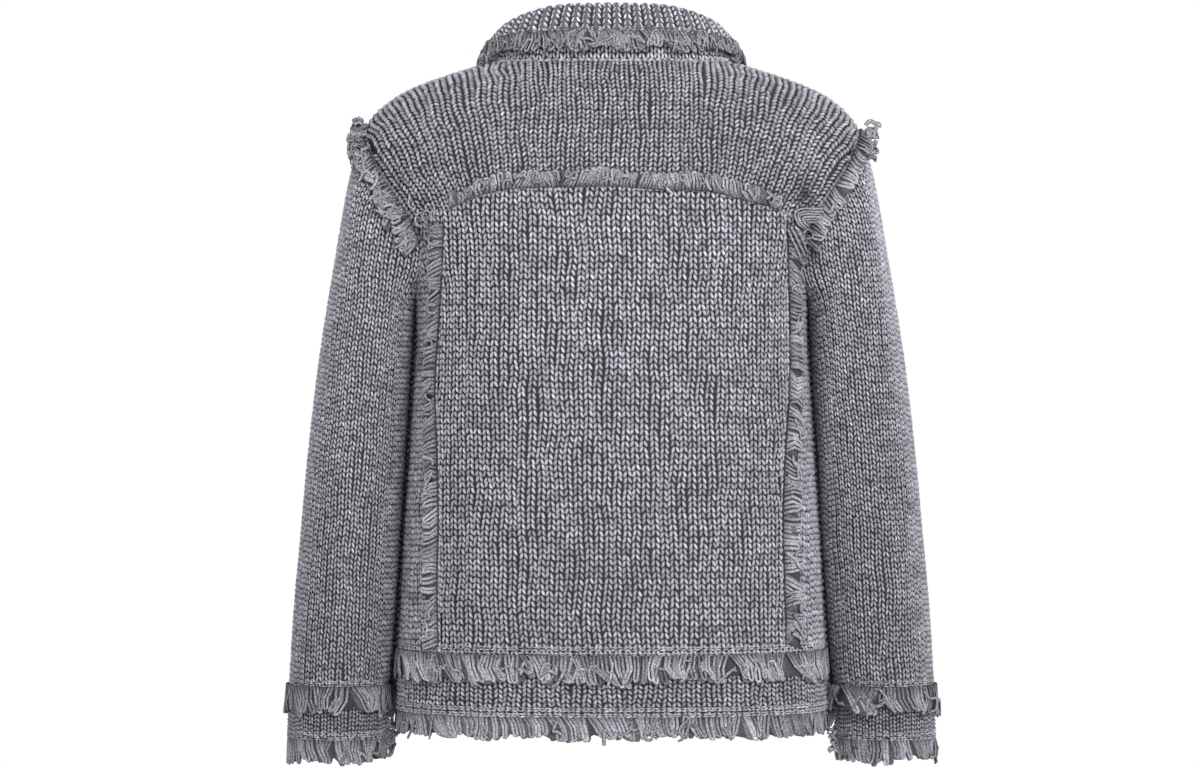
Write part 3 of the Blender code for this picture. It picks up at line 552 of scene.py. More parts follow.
def collar_guides(angle):
    """Neck seam, fold and leaf edge points, the level way out, and the stand's two axes."""
    from_back = np.abs(np.degrees(angle) - 90.0)
    values = [curve(COLLAR_SECTIONS, k, from_back) for k in (1, 2, 3, 4)]
    fold_height, lean, edge_height, off = (v[..., None] for v in values)
    out = np.stack([np.cos(angle), np.sin(angle), np.zeros_like(angle)], axis=-1)
    base_height = neck_height(angle)
    neck = torso(angle, base_height)
    base_height = base_height[..., None]
    reach = np.linalg.norm(neck[..., :2], axis=-1, keepdims=True)
    fold = out * (reach - lean) + UP * fold_height
    rising = unit(fold - neck)
    facing = out * rising[..., 2:] - UP * np.sum(rising * out, axis=-1, keepdims=True)
    share = (edge_height - base_height) / (fold_height - base_height)
    edge = neck + (fold - neck) * share + facing * off
    return neck, fold, edge, out, rising, facing


def collar_profile(angle):
    """Rows of the leaf's outer face, from its edge up over the fold, and their normals."""
    _, fold, edge, _, rising, facing = collar_guides(angle)
    centre = fold - rising * FOLD_RADIUS
    start = centre + facing * FOLD_RADIUS
    middle = 0.5 * start + 0.5 * edge + 0.0015 * facing
    rows = []
    for share in np.linspace(0, 1, 7):
        near = (1 - share) ** 2 * edge + 2 * share * (1 - share) * middle
        rows.append(near + share ** 2 * start)
    for turn in np.linspace(0, 180, 9)[1:]:
        cos = math.cos(math.radians(turn))
        sin = math.sin(math.radians(turn))
        rows.append(centre + FOLD_RADIUS * (cos * facing + sin * rising))
    rows.append(centre - FOLD_RADIUS * facing - LEAF_TURN_BACK * rising)
    points = np.stack(rows)
    normals = unit(np.cross(np.gradient(points, axis=1), np.gradient(points, axis=0)))
    return points, normals


class Field:
    """Cloth surface on an even lattice: s along the courses, t up the wales."""

    def __init__(self, points, normals, margin, s_start, s_step, t_start, t_step):
        self.points = points
        self.normals = normals
        self.margin = margin
        self.start = (s_start, t_start)
        self.step = (s_step, t_step)
        self.size = (points.shape[1], points.shape[0])
        self.end = (s_start + s_step * (self.size[0] - 1), t_start + t_step * (self.size[1] - 1))

    def read(self, values, s, t):
        u = np.clip((s - self.start[0]) / self.step[0], 0, self.size[0] - 1.001)
        v = np.clip((t - self.start[1]) / self.step[1], 0, self.size[1] - 1.001)
        i = u.astype(int)
        j = v.astype(int)
        a = u - i
        b = v - j
        if values.ndim == 3:
            a = a[..., None]
            b = b[..., None]
        low = (1 - a) * values[j, i] + a * values[j, i + 1]
        high = (1 - a) * values[j + 1, i] + a * values[j + 1, i + 1]
        return (1 - b) * low + b * high

    def mirrored(self):
        """The same surface on the right side of the garment."""
        return Field(flipped(self.points), flipped(self.normals), self.margin[:, ::-1],
                     -self.end[0], self.step[0], self.start[1], self.step[1])

    def cut(self, margin):
        """The same surface with another margin."""
        return Field(self.points, self.normals, margin, self.start[0], self.step[0],
                     self.start[1], self.step[1])


def outline_margin(outline, points):
    """Distance inside a closed outline, negative outside it. Both are flat."""
    shape = points.shape[:-1]
    flat = points.reshape(-1, 2)
    after = np.roll(outline, -1, axis=0)
    nearest = np.full(len(flat), 1e9)
    inside = np.zeros(len(flat), bool)
    for a, b in zip(outline, after):
        way = b - a
        long = float(way @ way)
        if long < 1e-16:
            continue
        share = np.clip((flat - a) @ way / long, 0, 1)
        nearest = np.minimum(nearest, np.linalg.norm(flat - a - share[:, None] * way, axis=1))
        crosses = (a[1] > flat[:, 1]) != (b[1] > flat[:, 1])
        if abs(way[1]) > 1e-16:
            meet = a[0] + (flat[:, 1] - a[1]) / way[1] * way[0]
            inside ^= crosses & (flat[:, 0] < meet)
    return np.where(inside, nearest, -nearest).reshape(shape)


def smooth_noise(rng, at, spacing):
    """Smooth random curve of about unit size, with a knot each spacing."""
    knots = np.arange(np.min(at) - 4 * spacing, np.max(at) + 5 * spacing, spacing)
    values = rng.normal(size=len(knots))
    place = (np.asarray(at) - knots[0]) / spacing
    k = np.clip(place.astype(int), 1, len(knots) - 3)
    t = place - k
    a, b, c, d = values[k - 1], values[k], values[k + 1], values[k + 2]
    return 0.5 * (2 * b + (c - a) * t + (2 * a - 5 * b + 4 * c - d) * t ** 2
                  + (3 * b - a - 3 * c + d) * t ** 3)


def blurred(values, axis, reach):
    """Average along one axis with a soft window, brought back to unit size."""
    reach = min(reach, (values.shape[axis] - 1) // 2)
    window = np.exp(-np.linspace(-2, 2, 2 * reach + 1) ** 2)
    window /= window.sum()
    soft = np.apply_along_axis(lambda line: np.convolve(line, window, "same"), axis, values)
    return soft / max(float(soft.std()), 1e-9)


def add_node(tree, kind, values=None, **settings):
    """Add a shader node with its settings and the values of its sockets."""
    node = tree.nodes.new(kind)
    for key, value in settings.items():
        setattr(node, key, value)
    for key, value in (values or {}).items():
        node.inputs[key].default_value = value
    return node


def new_material(name):
    """Empty material, its node tree and its shader."""
    material = bpy.data.materials.new(name)
    material.use_nodes = True
    return material, material.node_tree, material.node_tree.nodes["Principled BSDF"]


def yarn_material(name, colour, contrast=1.0, bump=0.35, grain=900.0):
    """Matt woollen yarn: colour times the piece's tone, which holds the yarn's own random tone and
    painted shade and highlight, with fine mottle and fibre bump.
    """
    material, tree, shader = new_material(name)
    place = add_node(tree, "ShaderNodeTexCoord")
    tone = add_node(tree, "ShaderNodeAttribute", attribute_name="tone")
    mottle = add_node(tree, "ShaderNodeTexNoise", {"Scale": grain, "Detail": 2.0})
    spread = add_node(tree, "ShaderNodeMapRange", {
        "From Min": 0.25, "From Max": 0.75,
        "To Min": 1.0 - 0.35 * contrast, "To Max": 1.0 + 0.35 * contrast})
    times = add_node(tree, "ShaderNodeMath", operation="MULTIPLY")
    paint = add_node(tree, "ShaderNodeVectorMath", {0: colour}, operation="SCALE")
    lumps = add_node(tree, "ShaderNodeTexNoise", {"Scale": grain * 1.7, "Detail": 1.0})
    raised = add_node(tree, "ShaderNodeBump", {"Strength": bump, "Distance": 0.0006})
    link = tree.links.new
    link(place.outputs["Object"], mottle.inputs["Vector"])
    link(place.outputs["Object"], lumps.inputs["Vector"])
    link(mottle.outputs["Fac"], spread.inputs["Value"])
    link(spread.outputs["Result"], times.inputs[0])
    link(tone.outputs["Fac"], times.inputs[1])
    link(times.outputs["Value"], paint.inputs["Scale"])
    link(paint.outputs["Vector"], shader.inputs["Base Color"])
    link(lumps.outputs["Fac"], raised.inputs["Height"])
    link(raised.outputs["Normal"], shader.inputs["Normal"])
    shader.inputs["Roughness"].default_value = 0.95
    shader.inputs["Metallic"].default_value = 0.0
    return material


def mesh_piece(name, points, faces, material, tone):
    """Smooth mesh from arrays; faces all have the same number of corners."""
    mesh = bpy.data.meshes.new(name)
    points = np.ascontiguousarray(points.reshape(-1, 3), np.float32)
    faces = np.ascontiguousarray(faces, np.int32)
    corners = faces.shape[1]
    mesh.vertices.add(len(points))
    mesh.vertices.foreach_set("co", points.ravel())
    mesh.loops.add(faces.size)
    mesh.loops.foreach_set("vertex_index", faces.ravel())
    mesh.polygons.add(len(faces))
    mesh.polygons.foreach_set("loop_start", np.arange(0, faces.size, corners, dtype=np.int32))
    mesh.update(calc_edges=True)
    mesh.polygons.foreach_set("use_smooth", np.ones(len(faces), bool))
    layer = mesh.attributes.new("tone", "FLOAT", "POINT")
    layer.data.foreach_set("value", np.ascontiguousarray(tone.ravel(), np.float32))
    mesh.materials.append(material)
    mesh.update()
    thing = bpy.data.objects.new(name, mesh)
    bpy.context.scene.collection.objects.link(thing)
    return thing


def numbered(rows, columns, first=0, wrap=False):
    """Point numbers of a grid, with its first column again at the end where it closes."""
    index = first + np.arange(rows * columns).reshape(rows, columns)
    return np.concatenate([index, index[:, :1]], axis=1) if wrap else index


def strip(lower, upper):
    """Faces between rows of point numbers and the rows above them."""
    return np.stack([lower[..., :-1], lower[..., 1:], upper[..., 1:], upper[..., :-1]],
                    axis=-1).reshape(-1, 4)


def shell(name, outer, inner, material, wrap=False, tone=0.35):
    """Closed wall between an outer and an inner grid of points."""
    rows, columns = outer.shape[:2]
    index = numbered(rows, columns, 0, wrap)
    under = numbered(rows, columns, rows * columns, wrap)
    faces = [strip(index[:-1], index[1:]), strip(under[:-1], under[1:])[:, ::-1],
             strip(under[0], index[0]), strip(index[-1], under[-1])]
    if not wrap:
        faces += [strip(index[:, 0], under[:, 0]), strip(under[:, -1], index[:, -1])]
    points = np.concatenate([outer.reshape(-1, 3), inner.reshape(-1, 3)])
    tones = np.concatenate([np.broadcast_to(tone, (rows, columns)).ravel(),
                            np.full(rows * columns, 0.8)])
    return mesh_piece(name, points, np.concatenate(faces), material, tones)


def painted_shading(points):
    """Share of light left by the painted shade of the back's soft hollows, above one for the
    painted highlight of its swells.
    """
    left = np.ones(points.shape[:-1])
    for x, z, across, up, depth in SHADES:
        near = np.exp(-((points[..., 0] - x) / across) ** 2 - ((points[..., 2] - z) / up) ** 2)
        left = left * (1 - depth * near * (points[..., 1] > 0))
    return left


def knit(name, field, gauge, material, seed, edge=0.0, wobble=0.0009, brightness=1.0,
         s_shift=0.5, streak=0.07, spot=0.10, narrow=1.0, stagger=0.10, fade=0.0,
         fine=False):
    """Joined mesh of stitches over a field: two bulging legs to each stitch. The fine ones
    have a fourth station to each leg."""
    wale, course, lift = gauge
    rng = np.random.default_rng(seed)
    columns, rows = (np.arange(math.floor(field.start[k] / gauge[k]),
                               math.ceil(field.end[k] / gauge[k]) + 1) for k in (0, 1))
    i, j = np.meshgrid(columns, rows)
    s0 = (i + s_shift) * wale
    phase = blurred(rng.normal(size=(1, len(columns))), 1, 1)
    phase = phase + 0.4 * rng.normal(size=(1, len(columns)))
    t0 = (j + 0.5 + stagger * phase) * course
    streaks = blurred(rng.normal(size=i.shape), 1, 4)
    spots = rng.normal(size=i.shape)
    wander = blurred(blurred(rng.normal(size=i.shape), 0, 6), 1, 3)
    sway = blurred(rng.normal(size=i.shape), 0, 2)
    keep = field.read(field.margin, s0, t0) > edge
    keep &= (s0 > field.start[0]) & (s0 < field.end[0])
    keep &= (t0 > field.start[1]) & (t0 < field.end[1])
    s0 = (s0 + wobble * wander + 0.25 * wobble * sway)[keep]
    t0 = t0[keep]
    count = len(s0)
    tone = brightness * (1 + streak * streaks[keep] + spot * spots[keep])
    # Painted shade, deepening lower down the piece
    tone = tone * np.clip(1 + fade * (t0 + LOW_SHADE_LEVEL), *LOW_SHADE_RANGE)
    # Painted shade in the back's hollows and painted highlight on its swells
    tone = tone * painted_shading(field.read(field.points, s0, t0))
    stations = np.array([LEFT_LEG, RIGHT_LEG])
    if not fine:
        middle = stations[:, 1:3].mean(axis=1) * PLAIN_SWELL
        stations = np.stack([stations[:, 0], middle, stations[:, 3]], axis=1)
    side = np.array([-1.0, 1.0])[:, None, None]
    point = np.array([-1.0, 0.0, 1.0])[None, None, :]
    across = side * stations[:, :, 0, None] + point * stations[:, :, 3, None]
    across = across * narrow
    up = np.broadcast_to(stations[:, :, 1, None], across.shape)
    rise = stations[:, :, 2, None] - EDGE_DROP * np.abs(point)
    # Painted shade of each leg: its table's shade, with darker sides by EDGE_SHADE
    shade = stations[:, :, 4, None] * (1 - (1 - EDGE_SHADE) * np.abs(point))
    each, puff, sag = (rng.normal(size=(count, 2))[:, :, None, None] for _ in range(3))
    s = s0[:, None, None, None] + wale * (across + LEG_SPREAD[0] * each)
    t = t0[:, None, None, None] + course * (up + LEG_SPREAD[1] * sag)
    rise = rise * (1 + LEG_SPREAD[2] * puff)
    points = field.read(field.points, s, t)
    points = points + field.read(field.normals, s, t) * (lift * rise)[..., None]
    tones = shade * tone[:, None, None, None] * (1 + LEG_SPREAD[3] * each)
    stops = stations.shape[1]
    leg = numbered(stops, 3)
    quads = strip(leg[1:], leg[:-1])
    faces = (np.arange(2 * count)[:, None, None] * leg.size + quads[None]).reshape(-1, 4)
    return mesh_piece(name, points, faces, material, np.clip(tones, *TONE_RANGE))


def rail(points, normals, half=0.004):
    """Narrow field along a seam line, for one row of chain stitches."""
    length = track_length(points)
    at = np.linspace(0, length[-1], max(4, int(length[-1] / 0.002)))
    points = resampled(at, length, points)
    normals = unit(resampled(at, length, normals))
    aside = unit(np.cross(unit(np.gradient(points, axis=0)), normals))
    offsets = np.array([-half, 0.0, half])
    grid = points[:, None] + aside[:, None] * offsets[None, :, None]
    margin = np.repeat(-np.abs(offsets)[None], len(at), axis=0)
    return Field(grid, np.repeat(normals[:, None], 3, axis=1), margin, -half, half, 0.0, at[1])


def chain(name, points, normals, seed, width=0.0036, pitch=0.0062, lift=0.0010,
          brightness=1.05):
    """Row of chain stitches along a line."""
    wide = width * 1.15
    return knit(name, rail(points, normals), (wide, pitch, lift), CHAIN, seed, edge=-0.3 * wide,
                wobble=0.0, brightness=1.15 * brightness, s_shift=0.0, streak=0.10, spot=0.16,
                narrow=0.88)


def tubes(name, centres, normals, radius, material, tone, edge, flat=0.68):
    """Closed flattened tubes along many paths at once: centres is paths by stations by 3."""
    count, stations = centres.shape[:2]
    sides = 6
    along = unit(np.gradient(centres, axis=1))
    aside = unit(np.cross(along, normals))
    facing = unit(np.cross(aside, along))
    turn = np.arange(sides) * 2 * math.pi / sides
    ring = (np.cos(turn)[None, None, :, None] * aside[:, :, None]
            - flat * np.sin(turn)[None, None, :, None] * facing[:, :, None])
    points = centres[:, :, None] + radius[:, :, None, None] * ring
    index = numbered(stations, sides, wrap=True)
    ends = [index[0, [3, 2, 1, 0]], index[0, [5, 4, 3, 0]],
            index[-1, [0, 1, 2, 3]], index[-1, [0, 3, 4, 5]]]
    one = np.concatenate([strip(index[:-1], index[1:]), np.array(ends)])
    faces = (np.arange(count)[:, None, None] * stations * sides + one[None]).reshape(-1, 4)
    # Painted light and shade: the outer sides painted lit, the inner ones painted dark, and the
    # two rims as told
    upper = np.array([0, 0, 0, 0, 1, 1])
    lower = np.array([0, 1, 1, 0, 0, 0])
    rim = np.array([1, 0, 0, 1, 0, 0])
    shade = upper + 0.25 * lower + edge[:, None] * rim[None]
    # Painted shade and highlight of the back, on these tubes too
    tone = tone * painted_shading(centres)
    tones = np.clip(tone[:, :, None] * shade[:, None], *TONE_RANGE)
    return mesh_piece(name, points, faces, material, tones)


# Tone of the upper and of the lower layer of loops: the lower one painted dark for the shade under
# the upper
LAYER_SHADING = (1.0, 0.38)

# A loop from root to root: how far out, and to which side
LOOP_OUT = np.array([0.0, 0.50, 0.93, 1.0, 1.0, 0.93, 0.50, 0.0])
LOOP_ASIDE = np.array([-1.0, -1.0, -1.0, -0.45, 0.45, 1.0, 1.0, 1.0])


def tufts(rng, length, mean, mess, flap):
    """Tufts along a fringe, one row each of start, width, lean, curl, puff, size, tone,
    gather and how far its strands are felted together."""
    widths = mean * rng.uniform(0.5, 1.7, size=int(length / mean * 2.2) + 6)
    starts = np.concatenate([[0.0], np.cumsum(widths)])[:-1] - mean
    kept = starts < length + mean
    starts, widths = starts[kept], widths[kept]
    count = len(starts)
    felted = np.where(rng.uniform(size=count) < flap, rng.uniform(0.6, 1.0, size=count),
                      rng.uniform(0.0, 0.35, size=count))
    return np.stack([
        starts, widths, 0.24 * mess * rng.normal(size=count), 0.24 * mess * rng.normal(size=count),
        rng.uniform(0.0, 1.0, size=count) ** 1.5, 1 + 0.09 * rng.normal(size=count),
        1 + 0.11 * rng.normal(size=count), rng.uniform(-0.05, 0.40, size=count), felted])


def tuft_at(table, metres):
    """Distance of each place from the middle of its tuft, and the tuft's own values."""
    own = np.clip(np.searchsorted(table[0], metres) - 1, 0, table.shape[1] - 1)
    starts, widths, *rest = table[:, own]
    return metres - starts - 0.5 * widths, widths, *rest


def fringe(name, point, length, reach, seed, wrap=False, mess=1.0, spread=0.0015,
           pitch=0.0068, radius=0.0015, start=-0.0012, brightness=1.0, tuft=0.014,
           flap=0.45, slant=0.0, strays=0.12):
    """Matted yarn loops along a seam, in tufts. point gives (place, drop, lift)."""
    rng = np.random.default_rng(seed)
    paths = []
    facings = []
    radii = []
    tones = []
    edges = []
    out = LOOP_OUT[None]

    def along(place):
        return np.mod(place, 1.0) if wrap else np.clip(place, 0.0, 1.0)

    def lay(place, drop, lift, thick, tone, edge):
        path = point(along(place), drop, lift)
        paths.append(path)
        facings.append(unit(point(along(place), drop, lift + 0.0005) - path))
        radii.append(thick)
        tones.append(tone)
        edges.append(edge)

    table = tufts(rng, length, tuft, mess, flap)
    for layer in range(2):
        count = max(3, int(length / pitch))
        at = (np.arange(count) + 0.5 + 0.25 * layer) / count
        at = at + rng.normal(size=count) * 0.10 / count
        metres = at * length
        inside, widths, lean, curl, puff, size, tint, gather, felted = tuft_at(table, metres)
        lean = slant + lean + mess * (0.10 * smooth_noise(rng, metres, 0.022)
                                      + 0.04 * rng.normal(size=count)) + 0.22 * felted * (
                                          1 if slant >= 0 else -1)
        curl = curl + mess * 0.06 * rng.normal(size=count)
        round_end = np.clip(1 - (2 * inside / widths) ** 2, 0, 1)
        size = size * (0.84 + 0.16 * np.sqrt(round_end)) - 0.07 * felted
        size = size + 0.035 * (1 - 0.6 * felted) * rng.normal(size=count)
        half = pitch * (0.25 + 0.03 * rng.normal(size=count))
        aside = half[:, None] * LOOP_ASIDE[None]
        drift = reach * (lean[:, None] * out + curl[:, None] * np.sin(math.pi * out) * 0.5)
        drift = drift - (gather * inside)[:, None] * out ** 1.5
        place = at[:, None] + (aside * (1 - 0.25 * gather[:, None] * out) + drift) / length
        drop = start + (reach * size[:, None] - start) * out
        lift = 0.0010 + 0.0012 * (1 - layer) + spread * puff[:, None] * out ** 1.3
        lift = lift - 0.0003 * felted[:, None]
        lift = lift + 0.0005 * np.sin(math.pi * out) * rng.normal(size=count)[:, None]
        thick = radius * (1 + 0.10 * rng.normal(size=count) + 0.12 * felted)
        tone = tint * (1 + 0.17 * rng.normal(size=count)) * brightness * LAYER_SHADING[layer]
        # Painted shade: each loop darker near its root at the seam, and its rims dark between the
        # strands, less so where felted
        rooted = 0.50 + 0.50 * np.clip(out * 2.2, 0, 1)
        rooted = rooted * (1 + 0.12 * rng.normal(size=(count, 1)) * (out - 0.5))
        lay(place, drop, lift, thick[:, None] * np.ones_like(out), tone[:, None] * rooted,
            -0.22 + 0.80 * felted)

    count = int(strays * length / 0.0030)
    if count:
        steps = np.linspace(0, 1, len(LOOP_OUT))[None]
        first, last, aside, bow = (rng.uniform(low, high, size=count)[:, None] for low, high in (
            (0.0, 0.5), (0.6, 1.08), (-0.8, 0.8), (-0.4, 0.4)))
        wave = 0.16 * np.sin(2 * math.pi * steps + rng.uniform(0, 6.3, size=count)[:, None])
        drop = reach * (first + (last - first) * steps + wave * (steps > 0))
        sideways = reach * (aside * (steps - 0.5) + bow * np.sin(math.pi * steps))
        place = rng.uniform(0.01, 0.99, size=count)[:, None] + sideways / length
        lift = 0.0028 + spread * 0.5 * steps + 0.0010 * np.sin(math.pi * steps)
        lift = lift * np.ones((count, 1))
        thick = 1.1 * radius * (1 + 0.12 * rng.normal(size=count))[:, None]
        tone = brightness * (0.90 + 0.12 * rng.normal(size=count))[:, None]
        lay(place, drop, lift, thick * (1 - 0.25 * (2 * steps - 1) ** 2),
            tone * np.ones_like(steps), np.full(count, -0.05))
    strands = tubes(name, np.concatenate(paths), np.concatenate(facings),
                    np.concatenate(radii), LOOSE, np.concatenate(tones),
                    np.concatenate(edges))

    count = int(length / 0.0017)
    at = np.linspace(0.0, 1.0, count)
    metres = at * length
    inside, widths, lean, curl, puff, size, tint, gather, felted = tuft_at(table, metres)
    side = np.clip(np.abs(2 * inside / widths), 0, 1)
    outs = np.linspace(0.0, 1.0, 6)[:, None]
    size = size * (0.70 + 0.12 * felted + 0.16 * np.sqrt(1 - side ** 2))
    size = size + 0.02 * smooth_noise(rng, metres, 0.004)
    drop = start + (reach * size[None] - start) * outs
    drift = reach * (slant + lean)[None] * outs - (gather * inside)[None] * outs ** 1.5
    place = along(at[None] + drift / length)
    rise = 0.0010 * felted[None] + spread * puff[None] * outs ** 1.3 + 0 * drop
    face = point(place, drop, 0.0009 + rise)
    back = point(place, drop, 0.0001 + 0.8 * rise)
    # The mat under the loops is painted dark for the shade beneath them, in the yarn's tone where
    # felted, darker in the slits between tufts and towards the seam
    slit = np.clip((side - 0.70) / 0.28, 0, 1)
    tone = (0.11 + 0.42 * felted * tint * (1 - slit)) * brightness
    tone = tone[None] * (0.6 + 0.4 * np.clip(outs * 2.2, 0, 1))
    wear(shell(name + "_mat", face[::-1], back[::-1], LOOSE, tone=tone[::-1]), "fringe_yarn")
    return strands


def wear(thing, slot, *nodes):
    """The piece rides on the garment and stands for its nodes. slot is not used."""
    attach(thing, "root")
    if nodes:
        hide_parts(*nodes)
    return thing


KNIT = yarn_material("knit_yarn", (0.487, 0.479, 0.546))
# The backing, the inner faces and the rolls in the slits are painted dark for the shade there
SHADE_BACKING = yarn_material("knit_shade_backing", (0.070, 0.069, 0.080), 1.0, 0.5)
BAND = yarn_material("band_yarn", (0.435, 0.428, 0.486))
CUFF = yarn_material("cuff_yarn", (0.35, 0.345, 0.39))
RIB = yarn_material("rib_yarn", (0.50, 0.492, 0.56))
LOOSE = yarn_material("loose_yarn", (0.315, 0.309, 0.350), 2.2, 1.2, 700.0)
CHAIN = yarn_material("chain_yarn", (0.47, 0.462, 0.52))

made = {}


def cloth(node, slot, *what, **how):
    """Thin shell that stands for a node."""
    made[node] = wear(shell(node + "_cloth", *what, **how), slot, node)


def stitches(node, slot, *what, **how):
    """Knit over the shell of a node."""
    made[node + "_knit"] = wear(knit(node + "_stitches", *what, **how), slot)


def seam_chain(name, *what, **how):
    """Chain stitches along one line."""
    made[name] = wear(chain(name, *what, **how), "fringe_yarn")


def trim(name, side, *what, **how):
    """Fringe that stands for a node. side is empty where the seam has no other side."""
    node = "fringe_" + name + side
    made[node] = wear(fringe(name + "_fringe" + side, *what, **how), "fringe_yarn", node)


def fold(name, path, facing, radius):
    """Roll of cloth in the slit between a sleeve and the body, painted dark for the shade in the
    slit.
    """
    size = (1, len(path))
    roll = tubes(name, path[None], facing[None], np.full(size, radius), SHADE_BACKING,
                 np.full(size, 1.2), np.full(1, 0.8), 1.0)
    made[name] = wear(roll, "knit")


def torso_field(centre, heights, reach):
    """Torso with s as the length round it from a centre line, at each height."""
    levels = np.arange(heights[0], heights[1] + LATTICE, LATTICE)
    lengths = np.arange(-reach, reach + LATTICE, LATTICE)
    fine = np.linspace(centre - math.pi, centre + math.pi, 1441)
    total = track_length(torso(fine[None, :], levels[:, None]), axis=1)
    total = total - total[:, 720:721]
    angles = rows_at(lengths, total, [fine] * len(levels))
    levels = np.repeat(levels[:, None], len(lengths), axis=1)
    field = Field(torso(angles, levels), torso_normal(angles, levels), np.zeros(levels.shape),
                  lengths[0], LATTICE, levels[0, 0], LATTICE)
    return field, np.stack([angles, levels], axis=-1)


def flat_outline(bottom, top, left, right):
    """Outline of a panel in flat units close to metres."""
    return np.concatenate([bottom, right[1:], top[::-1][1:], left[::-1][1:-1]]) * FLAT


def thin_out(grid):
    """Every other row and column of a grid, with its borders kept."""
    rows, columns = (np.unique(np.append(np.arange(0, size, 2), size - 1))
                     for size in grid.shape[:2])
    return grid[rows][:, columns]


def panel(node, slot, grid):
    """Shell of a piece of the torso, from its grid of (angle, height) pairs."""
    angles, heights = np.moveaxis(thin_out(grid), -1, 0)
    normals = torso_normal(angles, heights)
    points = inset(torso(angles, heights), normals, SEAM_GAP / 2)
    cloth(node, slot, points - BASE_DEPTH * normals, points - WALL * normals, SHADE_BACKING)


def on_torso(angle, height, lift):
    return torso(angle, height) + np.asarray(lift)[..., None] * torso_normal(angle, height)


def line_on_torso(pairs, lift=0.0):
    """Points and normals along a run of (angle, height) pairs."""
    normals = torso_normal(pairs[:, 0], pairs[:, 1])
    return torso(pairs[:, 0], pairs[:, 1]) + lift * normals, normals


def back_parts():
    """Back panel, back sides and yoke with their stitches."""
    field, places = torso_field(math.pi / 2, (-0.60, -0.10), 0.42)
    yoke_line = yoke_seam_run(60)
    left_seam = back_seam(1, np.linspace(WAIST_SEAM, yoke_line[0, 1], 80))
    right_seam = back_seam(-1, np.linspace(WAIST_SEAM, yoke_line[-1, 1], 80))
    waist = level_run(WAIST_SEAM, left_seam[0, 0], right_seam[0, 0], 60)
    left_top = run(armhole(YOKE_CORNER), yoke_line[0], 16)
    right_top = run(yoke_line[-1], mirrored(armhole(YOKE_CORNER)[None])[0], 16)
    outer = join(run((0.0, WAIST_SEAM), (0.0, UNDERARM), 49),
                 armhole(np.linspace(180.0, YOKE_CORNER, 31)))
    left_waist = level_run(WAIST_SEAM, 0.0, left_seam[0, 0], 16)
    right_waist = level_run(WAIST_SEAM, right_seam[0, 0], math.pi, 16)
    for node, seed, fade, *runs in (
        ("back_panel", 101, 0.35, waist, yoke_line, left_seam, right_seam),
        ("back_side_L", 111, 0.0, left_waist, left_top, outer, left_seam),
        ("back_side_R", 112, 0.0, right_waist, right_top, right_seam, mirrored(outer)),
    ):
        panel(node, "knit", coons(*runs))
        margin = outline_margin(flat_outline(*runs), places * FLAT)
        stitches(node, "knit", field.cut(margin), GAUGE_BACK, KNIT, seed, -0.001, fade=fade,
                 fine=True)

    left = join(armhole(np.linspace(YOKE_CORNER, 0.0, 31)),
                run((0.0, SHOULDER_TIP), (0.0, 0.0), 20))
    bottom = join(left_top, yoke_line, right_top)
    runs = (bottom, even_run(neck_height, 0.0, math.pi, len(bottom) - 1), left, mirrored(left))
    panel("back_yoke", "knit", coons(*runs))
    # The yoke is painted darker, against the light that falls on its upturned slope
    stitches("back_yoke", "knit", yoke_field(flat_outline(*runs)), GAUGE_YOKE, KNIT, 121,
             -0.001, brightness=0.91, fine=True)
    return yoke_line, left_seam, right_seam


def yoke_field(outline):
    """Yoke with wales square to the shoulders at the ends and upright in the middle."""
    step = 0.002
    x = np.arange(-0.262, 0.2621, 0.001)
    away = np.clip((np.abs(x) - 0.075) / 0.115, 0, 1.4)
    lean = np.radians(37.0) * away ** 1.15
    slope = np.tan(lean) * np.sign(x)
    drop = np.concatenate([[0], np.cumsum((slope[1:] + slope[:-1]) / 2 * 0.001)])
    middle = len(x) // 2
    base = -0.085 - (drop - drop[middle])
    arc = np.concatenate([[0], np.cumsum(np.hypot(np.diff(x), np.diff(base)))])
    arc = arc - arc[middle]
    s = np.arange(-0.30, 0.3001, LATTICE)
    x_at = np.interp(s, arc, x)
    z_at = np.interp(s, arc, base)
    lean_at = np.interp(s, arc, lean * np.sign(x))
    far = np.arange(-60, 61) * step
    xs = x_at[None] + far[:, None] * np.sin(lean_at)[None]
    zs = z_at[None] + far[:, None] * np.cos(lean_at)[None]
    zs = np.clip(zs, -0.30, 0.004)
    angles = body_angle(xs, zs, 1)
    total = track_length(torso(angles, zs))
    total = total - total[60:61]
    total = total + 1e-7 * np.arange(121)[:, None]
    t = np.arange(-0.11, 0.151, LATTICE)
    angle, level, xs_t = (rows_at(t, total.T, values.T).T for values in (angles, zs, xs))
    margin = outline_margin(outline, np.stack([angle, level], axis=-1) * FLAT)
    half = curve(TORSO_SECTIONS, 1, level)
    margin = np.minimum(margin, half - np.abs(xs_t) + 0.0005)
    return Field(torso(angle, level), torso_normal(angle, level), margin, s[0], LATTICE,
                 t[0], LATTICE)


